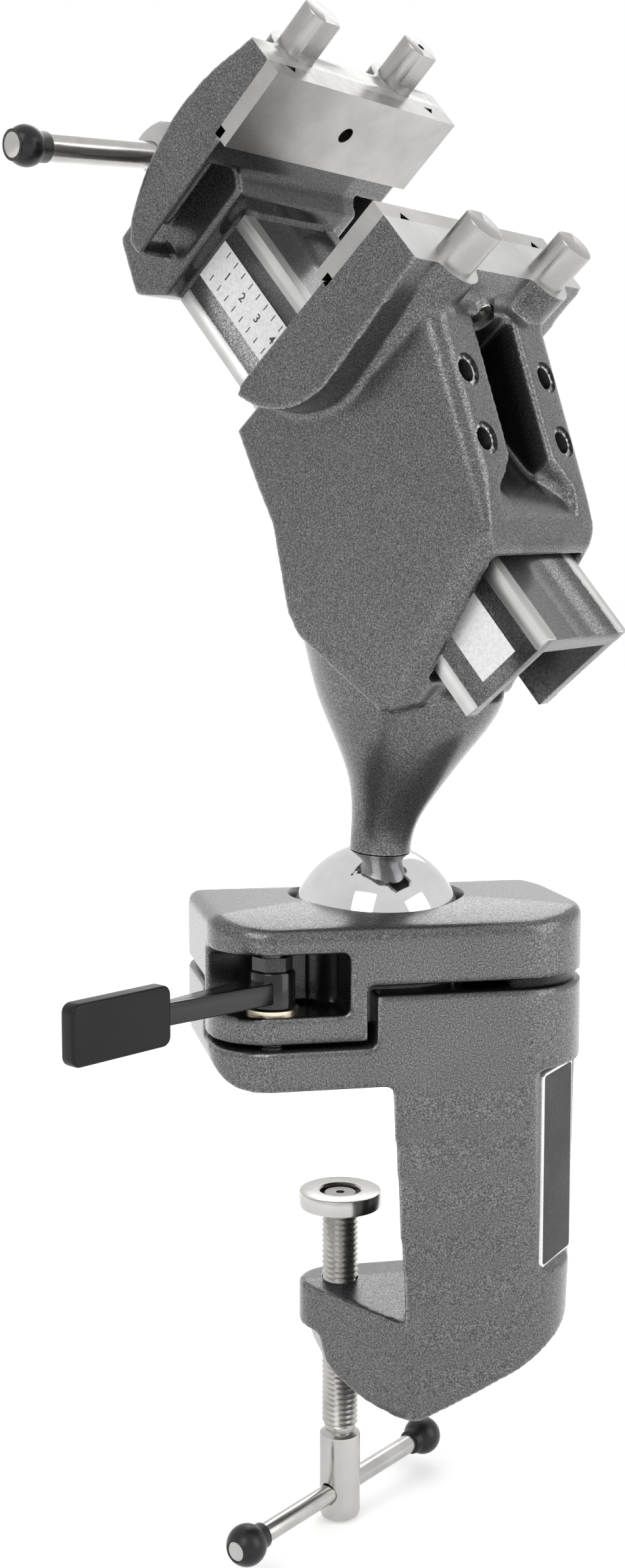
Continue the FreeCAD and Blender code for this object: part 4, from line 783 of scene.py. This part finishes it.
# movable jaw and its slide
slideSizes = {
    "grid": 1.1, "softening": 4, "faces": 130000, "seat": -223.8, "front": -221.0, "back": -234.0,
    "split": -212.5, "overlap": 0.6, "half": 25.5, "high": 136.0, "relief": 0.6, "edge": 0.35,
    "screwV": 112.0, "screwRadius": 7.45, "platePlug": (6.0, -224.0, -234.6),
    "screwPlug": (8.0, -244.9, -222.0), "recess": ((-240.0, -50.0, 90.0), (-212.0, 25.0, 155.0))}


def splitCopy(node, place, level, keepAbove):
    work = cadCopy(node, place)
    bmesh.ops.bisect_plane(work, geom=work.verts[:] + work.edges[:] + work.faces[:], dist=1e-4,
                           plane_co=(level, 0, 0), plane_no=(1, 0, 0),
                           clear_inner=keepAbove, clear_outer=not keepAbove)
    rim = [edge for edge in work.edges if edge.is_boundary]
    bmesh.ops.triangle_fill(work, edges=rim, use_beauty=True)
    return work


def makeRail(sizes):
    # the slide proper: ground lands, painted flanks, and near-black painted shade inside the channel
    rail = splitCopy("movable_jaw", headPlace, sizes["split"] - sizes["overlap"], True)
    bmesh.ops.dissolve_limit(rail, angle_limit=0.01, verts=rail.verts, edges=rail.edges)
    bevelEdges(rail, sizes["edge"], 2, lambda edge: all(vert.co.x > sizes["split"] for vert in edge.verts))
    outer, inner = sizes["half"] - 0.2, sizes["half"] - sizes["relief"] - 0.05
    for face in outward(rail).faces:
        spot = face.calc_center_median()
        onLand = abs(spot.y) > outer or spot.z > sizes["high"] - 0.2
        inChannelShade = abs(spot.y) < inner - 5 and spot.z < sizes["high"] - 5
        face.material_index = milled if onLand else shaded if inChannelShade else painted
    bar = bpy.data.meshes.new("rail")
    rail.to_mesh(bar)
    rail.free()
    for finish in castFinishes:
        bar.materials.append(finish)
    return newObject("slideRail", bar)


def makeJaw(sizes):
    work = splitCopy("movable_jaw", headPlace, sizes["split"], False)
    seat, front, back = sizes["seat"], sizes["front"], sizes["back"]
    foot, top = headSizes["seatFoot"], headSizes["top"]
    plugs = postPlugs(back, 15)
    plugs.append(lying(rod(*sizes["platePlug"]), headSizes["plateHoleV"]))
    plugs.append(lying(rod(*sizes["screwPlug"]), sizes["screwV"]))
    addStock(work, seat, 1)
    cast = castSkin("jawCasting", work, plugs, sizes)
    cuts = [
        slab(-280, -200, top, top + 20, milled),
        slab(seat, -180, foot, top + 9, milled),
        slab(front, -180, foot - headSizes["groove"], top + 9, painted),
        # the groove under the plate takes the near-black steel: painted shade
        slab(seat, front + 1, foot - headSizes["groove"], foot + 0.5, holeShade),
    ]
    cuts += plateBores(back - 2.5, back + 2, back, -210)
    cuts.append(drill(sizes["screwRadius"], (-245, 0, sizes["screwV"]), (-200, 0, sizes["screwV"])))
    cuts += postHoles(back)
    thinned(machine(cast, cuts), sizes["faces"])
    # painted shade, up to 0.7, on the recess faces under the plate that turn towards the fixed jaw
    shade(cast, lambda spot, normal: limited(normal.x * 2.0) * 0.7 * inside(spot, *sizes["recess"], 2.0))
    whole = joined("movableJaw", [cast, makeRail(sizes)])
    return finishPiece(whole, headPlace, "jaw", ["movable_jaw"], 50)


makeJaw(slideSizes)
print("ball vise: movable jaw cast")

# ground jaw plates
plateSizes = {
    "half": 50.5, "height": 30.0, "thick": 6.3, "thin": 3.5, "step": 3.5, "fixedFace": -160.5,
    "movableFace": -217.5, "edge": 0.35, "notchW": 39.0, "notch": 2.6, "notchDepth": 3.0,
    "holeRadius": 2.75}


def makeJawPlate(name, node, face, toward, body, sizes):
    top, holeV = headSizes["top"], headSizes["plateHoleV"]
    bottom = top - sizes["height"]
    step, back, thin = bottom + sizes["step"], face + sizes["thick"] * toward, face + sizes["thin"] * toward
    outline = [(face, bottom), (face, top), (back, top), (back, step), (thin, step), (thin, bottom)]
    work = bevelEdges(prism(outline, -sizes["half"], sizes["half"]), sizes["edge"])
    item = looseObject(name, work, [groundSteel, paintedShadeSteel])
    past = face + sizes["thick"] * toward * 2
    # the hole and the notches take the near-black steel: painted shade
    cuts = [drill(sizes["holeRadius"], (face, 0, holeV), (past, 0, holeV), 0.25, 1)]
    size = sizes["notch"]
    for side in (-1, 1):
        middle = sizes["notchW"] * side
        notch = [(back + toward, middle - size), (back, middle - size),
                 (back - sizes["notchDepth"] * toward, middle), (back, middle + size),
                 (back + toward, middle + size)]
        cuts.append((prism(notch, top - 6, top + 1, "z"), Matrix(), 1))
    return finishPiece(machine(item, cuts), headPlace, body, [node], 30)


makeJawPlate("fixedJawPlate", "fixed_jaw_plate", plateSizes["fixedFace"], 1, "head", plateSizes)
makeJawPlate("movableJawPlate", "movable_jaw_plate", plateSizes["movableFace"], -1, "jaw", plateSizes)

# round posts on the jaws, each with a flat
postSizes = {
    "radius": 7.0, "rise": 15.5, "spigot": 5.0, "depth": 14.0, "chamfer": 0.7, "flat": 5.4,
    "flatRise": 3.0, "gap": 0.02, "fixed": -138.0, "movable": -234.0, "centre": 0.9,
    "centred": "movablePostFar"}


def makePost(jaw, end, side, facing, sizes):
    name, node = jaw + "Post" + end, f"{jaw}_post_{end.lower()}"
    radius, rise, edge, gap = sizes["radius"], sizes["rise"], sizes["chamfer"], sizes["gap"]
    spigot, depth = sizes["spigot"], -sizes["depth"]
    profile = [(0, depth), (spigot, depth), (spigot, gap), (radius, gap), (radius, rise - edge),
               (radius - edge * 0.3, rise - edge * 0.3), (radius - edge, rise), (0, rise)]
    item = looseObject(name, lathe(profile, 96), [postSteel, paintedShadeSteel])
    cuts = [(block((sizes["flat"], -12, sizes["flatRise"]), (20, 12, rise + 5)), turnBy(facing, "Z"), 0)]
    if name == sizes["centred"]:
        # the centre hole takes the near-black steel: painted shade
        cuts.append(drill(sizes["centre"], (0, 0, rise), (0, 0, rise - 3), 0.5, 1))
    place = headPlace @ moveTo(sizes[jaw], headSizes["postW"] * side, headSizes["top"])
    return finishPiece(machine(item, cuts), place, node, [node], 30)


for jaw, facing in (("fixed", 180), ("movable", 0)):
    for end, side in (("Near", -1), ("Far", 1)):
        makePost(jaw, end, side, facing, postSizes)
print("ball vise: plates and posts made")

# chrome ball
ballSizes = {"radius": 31.0, "bore": 6.05, "boreDepth": 18.0, "steps": 64}


def makeBall(sizes):
    radius, bore, steps = sizes["radius"], sizes["bore"], sizes["steps"]
    first = math.degrees(math.asin(bore / radius))
    angles = [math.radians(first + (180 - first) * step / steps) for step in range(steps)]
    profile = [(bore, radius - sizes["boreDepth"])]
    profile += [(radius * math.sin(angle), radius * math.cos(angle)) for angle in angles] + [(0, -radius)]
    return makePiece("chromeBall", lathe(profile, 128), chrome, stemPlace, "ball",
                     ["chrome_ball"], 30)


makeBall(ballSizes)


def crossDrill(core, radius, turn, reach, height, rim):
    # a hole for a cross bar, drilled in from both sides; its walls take finish 1, the near-black steel of
    # painted shade
    for side in (-1, 1):
        mouth = turn @ Vector((side * reach[0], side * reach[1], height))
        machine(core, [drill(radius, mouth, (0, 0, height), rim, 1)])


# table spindle
spindleSizes = {
    "x": -13.0, "radius": 6.62, "root": 5.5, "pitch": 2.0, "tip": 4.5, "tipTop": -52.8, "tipBore": 2.05,
    "boreDepth": 16.0, "shoulder": -55.8, "threadTop": -57.0, "threadFoot": -138.0, "neckRadius": 5.4,
    "hubTop": -141.8, "hubFoot": -174.8, "hubRadius": 7.5, "barHeight": -163.8, "barRadius": 3.65,
    "barAngle": 40.0}


def makeSpindle(sizes):
    root, hub, top, foot = sizes["root"], sizes["hubRadius"], sizes["hubTop"], sizes["hubFoot"]
    bore, tip, tipTop, end = sizes["tipBore"], sizes["tip"], sizes["tipTop"], sizes["threadFoot"]
    profile = [(0, tipTop - sizes["boreDepth"]), (bore, tipTop - sizes["boreDepth"]), (bore, tipTop),
               (tip, tipTop), (tip, sizes["shoulder"]), (root, sizes["shoulder"] - 0.2), (root, end),
               (root + 0.5, end - 0.6), (root + 0.2, end - 1.6), (sizes["neckRadius"], top + 0.9),
               (hub - 0.9, top + 0.1), (hub - 0.15, top - 0.4), (hub, top - 1.2), (hub, foot + 2.4),
               (hub - 0.5, foot + 1.1), (hub - 1.6, foot + 0.3), (hub - 3.0, foot), (0, foot)]
    core = looseObject("spindleCore", lathe(profile, 72), [nickelSteel, paintedShadeSteel, threadSteel])
    crossDrill(core, sizes["barRadius"], turnBy(sizes["barAngle"], "Z"), (hub, 0), sizes["barHeight"], 0.5)
    for face in core.data.polygons:
        if face.center.z > end - 0.2:
            face.material_index = 2
    thread = grown("spindleThread", threadTree, Radius=root, Pitch=sizes["pitch"],
                   Length=sizes["threadTop"] - end, Ridge=sizes["radius"] - root, Finish=threadSteel)
    thread.data.transform(moveTo(0, 0, end))
    whole = joined("clampSpindle", [core, thread])
    return finishPiece(whole, moveTo(sizes["x"]), "spindle", ["clamp_spindle"], 40)


makeSpindle(spindleSizes)

# pressure plate
pressSizes = {
    "x": -13.0, "top": -49.7, "foot": -55.7, "radius": 15.0, "bore": 4.55, "recess": 7.4,
    "floor": -52.7}


def makePressurePlate(sizes):
    top, foot, radius = sizes["top"], sizes["foot"], sizes["radius"]
    bore, recess, floor = sizes["bore"], sizes["recess"], sizes["floor"]
    profile = [(bore, foot), (radius - 0.9, foot), (radius - 0.2, foot + 0.25), (radius, foot + 0.9),
               (radius, top - 0.7), (radius - 0.2, top - 0.2), (radius - 0.8, top), (recess + 0.5, top),
               (recess, top - 0.5), (recess, floor), (bore, floor)]
    return makePiece("pressurePlate", lathe(profile, 96, True), nickelSteel, moveTo(sizes["x"]),
                     "pressure_foot", ["pressure_plate"])


makePressurePlate(pressSizes)

# cross bars and their knobs
lowBarSizes = {"radius": 3.5, "half": 53.3, "knob": 7.2, "neck": 1.0, "face": 0.84, "steps": 26}
highBarSizes = {"radius": 4.8, "half": 67.0, "knob": 7.1, "neck": 0.5, "face": 0.84, "steps": 26}


def makeBar(name, sizes, place, body, barNode, knobNode):
    radius, half, knob, steps = sizes["radius"], sizes["half"], sizes["knob"], sizes["steps"]
    end = half + knob * 0.85
    chamfer = [(radius, end - 0.8), (radius - 0.15, end - 0.3), (radius - 0.7, end), (0, end)]
    shaft = [(wide, -at) for wide, at in reversed(chamfer)] + chamfer
    makePiece(name, lathe(shaft, 64), nickelSteel, place, body, [barNode])
    collar = radius + sizes["neck"]
    low, high = math.pi - math.asin(collar / knob), math.acos(sizes["face"])
    face = knob * math.cos(high)
    angles = [low - (low - high) * step / steps for step in range(steps + 1)]
    profile = [(radius, -knob - 1.5), (collar - 0.3, -knob - 1.5), (collar, -knob - 1.2)]
    profile += [(knob * math.sin(angle), knob * math.cos(angle)) for angle in angles]
    profile += [(radius + 0.5, face), (radius, face - 0.4)]
    ends = [(lathe(profile, 64, True), moveTo(0, 0, side * half) @ turnBy(90 - side * 90, "Y"))
            for side in (1, -1)]
    makePiece(name + "Knobs", merge(ends), knobPlastic, place, body, [knobNode], 50)


lowBarPlace = (moveTo(spindleSizes["x"], 0, spindleSizes["barHeight"])
               @ turnBy(spindleSizes["barAngle"], "Z") @ turnBy(90, "Y"))
makeBar("spindleBar", lowBarSizes, lowBarPlace, "spindle_handle", "spindle_bar", "spindle_bar_knobs")

# lead screw
screwSizes = {
    "top": -245.2, "v": 112.0, "head": 39.0, "headRadius": 10.5, "shank": 6.95, "root": 5.9,
    "grooveStart": 26.95, "grooveEnd": 28.5, "reach": 145.0, "threadStart": 32.0, "pitch": 4.0,
    "barSetback": 28.5, "barRadius": 4.95, "barTurn": 7.0}
screwPlace = headPlace @ moveTo(screwSizes["top"], 0, screwSizes["v"]) @ turnBy(90, "Y")


def makeLeadScrew(sizes):
    head, wide, root, reach = -sizes["head"], sizes["headRadius"], sizes["root"], sizes["reach"]
    shank, start, low, high = sizes["shank"], sizes["threadStart"], sizes["grooveStart"], sizes["grooveEnd"]
    profile = [(0, head), (wide * 0.45, head + 0.15), (wide * 0.75, head + 0.9), (wide * 0.93, head + 2.2),
               (wide, head + 4.2), (wide, -2.2), (wide - 0.4, -1.2), (wide - 1.4, -0.3), (shank + 0.65, 0),
               (shank, 0.3), (shank, low - 0.05), (root, low), (root, high), (shank, high + 0.05),
               (shank, start - 1), (root, start), (root, reach - 1), (root - 1, reach), (0, reach)]
    core = looseObject("screwCore", lathe(profile, 72), [nickelSteel, paintedShadeSteel, darkSteel])
    turn = turnBy(sizes["barTurn"], "Z")
    crossDrill(core, sizes["barRadius"], turn, (0, wide), -sizes["barSetback"], 0.6)
    for face in core.data.polygons:
        if face.center.z > start - 1:
            face.material_index = 2
    thread = grown("screwThreadRidge", threadTree, Radius=root, Pitch=sizes["pitch"],
                   Length=reach - 3 - start, Ridge=shank - root, Finish=darkSteel)
    thread.data.transform(moveTo(0, 0, start))
    whole = joined("leadScrew", [core, thread])
    return finishPiece(whole, screwPlace, "screw", ["lead_screw"], 40)


makeLeadScrew(screwSizes)
highBarPlace = (screwPlace @ moveTo(0, 0, -screwSizes["barSetback"]) @ turnBy(screwSizes["barTurn"], "Z")
                @ turnBy(-90, "X"))
makeBar("jawBar", highBarSizes, highBarPlace, "screw_handle", "jaw_bar", "jaw_bar_knobs")
print("ball vise: screws, bars and knobs made")

# clamp lever
leverSizes = {
    "x": -44.0, "y": -33.0, "angle": 216.5, "base": 27.2, "hub": 7.8, "hubHeight": 12.8, "bore": 4.05,
    "lift": 2.4, "armHeight": 7.5, "armStart": 6.0, "root": 6.51, "tip": 2.4, "armEnd": 82.0,
    "armEdge": 0.7, "gripStart": 50.0, "gripEnd": 91.0, "gripHeight": 20.0, "gripThick": 6.0,
    "gripRound": 3.2, "gripEdge": 1.1}


def makeLever(sizes):
    place = moveTo(sizes["x"], sizes["y"]) @ turnBy(sizes["angle"], "Z")
    base, top, hub, bore = sizes["base"], sizes["base"] + sizes["hubHeight"], sizes["hub"], sizes["bore"]
    boss = lathe([(bore, base), (hub - 0.6, base), (hub, base + 0.6), (hub, top - 0.8),
                  (hub - 0.25, top - 0.25), (hub - 0.8, top), (bore, top)], 64, True)
    low, root, tip = base + sizes["lift"], sizes["root"], sizes["tip"]
    first, bend, last = sizes["armStart"], sizes["gripStart"], sizes["armEnd"]
    arm = prism([(first, -root), (bend, -tip), (last, -tip), (last, tip), (bend, tip), (first, root)],
                low, low + sizes["armHeight"], "z")
    bevelEdges(outward(arm), sizes["armEdge"], 3)
    makePiece("clampLever", merge([(boss, Matrix()), (arm, Matrix())]), lacquer, place, "lever",
              ["clamp_lever"], 40)

    middle, half, thick = low + sizes["armHeight"] / 2, sizes["gripHeight"] / 2, sizes["gripThick"] / 2
    outline = roundedOutline(bend, sizes["gripEnd"], middle - half, middle + half, sizes["gripRound"])
    grip = bevelEdges(outward(prism(outline, -thick, thick)), sizes["gripEdge"], 4)
    makePiece("leverGrip", grip, gripPlastic, place, "lever", ["lever_grip"], 40)


makeLever(leverSizes)

# name plate: a bare black field in a bright rim
namePlateSizes = {
    "corner": (41.0, -15.0), "angle": -41.2, "recess": 23.2, "half": 13.25, "top": 0.5, "length": 70.0,
    "thick": 1.2, "round": 2.0, "border": 0.9, "edge": 0.25}


def makeNamePlate(sizes):
    place = moveTo(*sizes["corner"]) @ turnBy(sizes["angle"], "Z")
    half, low, high, border = sizes["half"], sizes["top"] - sizes["length"], sizes["top"], sizes["border"]
    face, bend = sizes["recess"] + sizes["thick"], sizes["round"]
    body = prism(roundedOutline(-half, half, low, high, bend), sizes["recess"], face, "x")
    bevelEdges(outward(body), sizes["edge"], 2,
               lambda edge: all(vert.co.x > face - 0.01 for vert in edge.verts))
    inner = half - border
    field = prism(roundedOutline(-inner, inner, low + border, high - border, bend - border * 0.6),
                  face - 0.4, face + 0.06, "x")
    whole = joined("namePlate", [looseObject("plateRimForm", body, [plateRim]),
                                 looseObject("plateField", field, [plateBlack])])
    return finishPiece(whole, place, "base", ["name_plate"], 30)


makeNamePlate(namePlateSizes)

# scale strip and plain label on the slide
scaleSizes = {
    "start": -213.5, "length": 56.0, "height": 16.0, "middle": 116.0, "wall": -24.9, "film": 0.2,
    "edge": 0.05, "firstTick": -208.6, "tickStep": 5.0, "tickRows": (121.8, 111.3), "tickLength": 2.6,
    "tickWidth": 0.42, "ticks": 10, "ink": 0.04, "sunk": 0.02, "digits": 5, "digitSize": 4.6,
    "weight": 0.07, "digitRise": 0.5, "labelStart": -83.0, "labelLength": 52.0}


def makeSticker(name, start, length, sizes):
    half, wall = sizes["height"] / 2, sizes["wall"]
    work = block((start, wall - sizes["film"], sizes["middle"] - half),
                 (start + length, wall, sizes["middle"] + half))
    return looseObject(name, bevelEdges(outward(work), sizes["edge"], 1), [labelFilm])


def makeDigit(number, place, sizes):
    line = bpy.data.curves.new("digit", "FONT")
    line.body = str(number)
    line.size = sizes["digitSize"]
    line.extrude = sizes["ink"]
    line.offset = sizes["weight"]
    line.align_x = "CENTER"
    line.align_y = "CENTER"
    letter = newObject("digit", line)
    bpy.context.view_layer.update()
    shape = bpy.data.meshes.new_from_object(letter.evaluated_get(bpy.context.evaluated_depsgraph_get()))
    bpy.data.objects.remove(letter)
    shape.transform(place @ turnBy(90, "X"))
    shape.materials.clear()
    shape.materials.append(printInk)
    return newObject("digit", shape)


def makeScale(sizes):
    face, first, step = sizes["wall"] - sizes["film"], sizes["firstTick"], sizes["tickStep"]
    half, tall = sizes["tickWidth"] / 2, sizes["tickLength"] / 2
    pieces = [makeSticker("scaleFilm", sizes["start"], sizes["length"], sizes)]
    for row in sizes["tickRows"]:
        tick = block((-half, -sizes["ink"], -tall), (half, sizes["sunk"], tall))
        pieces.append(repeated("scaleTicks", tick, sizes["ticks"], (first, face, row), (step, 0, 0),
                               printInk))
    for number in range(1, sizes["digits"] + 1):
        place = moveTo(first + step * (2 * number - 1), face, sizes["middle"] + sizes["digitRise"])
        pieces.append(makeDigit(number, place, sizes))
    finishPiece(joined("scaleStrip", pieces), headPlace, "jaw", ["scale_strip"], 30)
    blank = makeSticker("blankLabel", sizes["labelStart"], sizes["labelLength"], sizes)
    finishPiece(blank, headPlace, "jaw", ["blank_label"], 30)


makeScale(scaleSizes)
print("ball vise: lever, plate and scale made")

# small parts that keep their own mesh: a finish each
for finish, nodes in (
        # the screws down in holes take the near-black steel of painted shade
        (paintedShadeSteel, ("cap_screws", "gib_screws", "lead_nut_screws")),
        (darkSteel, ("lever_stud", "pressure_plate_screw", "gib_strip_near", "gib_strip_far", "lead_nut",
                     "screw_retaining_ring")),
        (nickelSteel, ("ball_stud", "fixed_plate_screw", "movable_plate_screw")),
        (brassWasher, ("lever_washer",)), (lacquer, ("lever_lock_nut",)),
        (seatPlastic, ("ball_seat_ring",))):
    for node in nodes:
        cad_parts[node].data.materials.clear()
        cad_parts[node].data.materials.append(finish)

# floor, light and camera
studio = {
    "floorDrop": -0.1755, "floorSize": 8.0, "frontWay": (-0.233, -0.967, 0.1), "roomLevel": 0.95,
    "panels": ((0.0, 0.9), (0.12, 0.8), (0.27, 0.18), (0.47, 0.18), (0.6, 0.85), (0.84, 0.9),
               (0.93, 0.03), (1.0, 0.02)),
    "ceiling": 0.7, "lampSize": 1.0, "target": (0, 0, 0.1), "lens": 41.23, "sensor": 36.0,
    "viewSpot": (-0.150517, -0.624952, 0.164502), "viewTilt": 84.2, "viewTurn": -11.5,
    "lamps": (("keyPanel", (-0.9, -1.3, 1.3), 11.0), ("fillPanel", (1.3, -0.9, 0.6), 8.0),
              ("rimPanel", (0.5, 1.3, 1.2), 6.0))}


def seenRays(tree):
    # 1 for what the camera, polished metal and clear things look at, 0 for the light itself
    path = addNode(tree, "ShaderNodeLightPath").outputs
    return addMath(tree, "MAXIMUM", path["Is Camera Ray"],
                   addMath(tree, "MAXIMUM", path["Is Glossy Ray"], path["Is Transmission Ray"]))


def makeFloor(sizes):
    grid = bmesh.new()
    bmesh.ops.create_grid(grid, x_segments=2, y_segments=2, size=sizes["floorSize"])
    grid.transform(moveTo(0, 0, sizes["floorDrop"]))
    finish, tree, spot = newFinish("paleFloorFinish")
    # the floor runs into the backdrop: brighter the farther it lies from the object
    reach = addRow(tree, "ShaderNodeVectorMath", spot, operation="LENGTH")["Value"]
    glow = addRange(tree, reach, 0.25, 1.2, 0.34, 0.7)
    dress(tree, Roughness=0.9, Base_Color=grey(0.93), Emission_Color=grey(1),
          Emission_Strength=addMath(tree, "MULTIPLY", seenRays(tree), glow))
    looseObject("paleFloor", grid, [finish])


def makeRoom(sizes):
    world = bpy.data.worlds.new("paleRoom")
    bpy.context.scene.world = world
    world.use_nodes = True
    tree = world.node_tree
    tree.nodes.clear()
    # the light of the room: dim in front of the object and beside it, with bright panels between and behind
    spot = addNode(tree, "ShaderNodeTexCoord").outputs["Generated"]
    way = addRow(tree, "ShaderNodeVectorMath", spot, sizes["frontWay"], operation="DOT_PRODUCT")["Value"]
    stops = [(share, grey(level)) for share, level in sizes["panels"]]
    panels = addRamp(tree, addRange(tree, way, -1.0, 1.0), *stops)
    height = addNode(tree, "ShaderNodeSeparateXYZ", Vector=spot).outputs["Z"]
    light = addMix(tree, addRange(tree, height, 0.45, 0.85, 0.0, sizes["ceiling"]), panels, grey(1.0))
    room = addNode(tree, "ShaderNodeBackground", Color=light, Strength=sizes["roomLevel"])
    backdrop = addNode(tree, "ShaderNodeBackground", Color=grey(1), Strength=1.0)
    blend = addRow(tree, "ShaderNodeMixShader", seenRays(tree), room.outputs[0], backdrop.outputs[0])
    addNode(tree, "ShaderNodeOutputWorld", Surface=blend[0])


def makeLamps(sizes):
    size = sizes["lampSize"]
    for name, spot, power in sizes["lamps"]:
        lamp = bpy.data.lights.new(name, "AREA")
        lamp.shape = "RECTANGLE"
        lamp.size = size
        lamp.size_y = size * 1.3
        lamp.energy = power
        item = newObject(name, lamp)
        item.location = spot
        item.rotation_euler = (Vector(sizes["target"]) - Vector(spot)).to_track_quat("-Z", "Y").to_euler()


def makeCamera(sizes):
    lens = bpy.data.cameras.new("viewCamera")
    lens.lens = sizes["lens"]
    lens.sensor_height = sizes["sensor"]
    lens.sensor_fit = "VERTICAL"
    lens.clip_start = 0.01
    lens.clip_end = 50.0
    camera = newObject("viewCamera", lens)
    camera.location = sizes["viewSpot"]
    camera.rotation_euler = (math.radians(sizes["viewTilt"]), 0, math.radians(sizes["viewTurn"]))
    bpy.context.scene.camera = camera
    bpy.context.scene.view_settings.view_transform = "Standard"


makeFloor(studio)
makeRoom(studio)
makeLamps(studio)
makeCamera(studio)
print("ball vise: studio set")
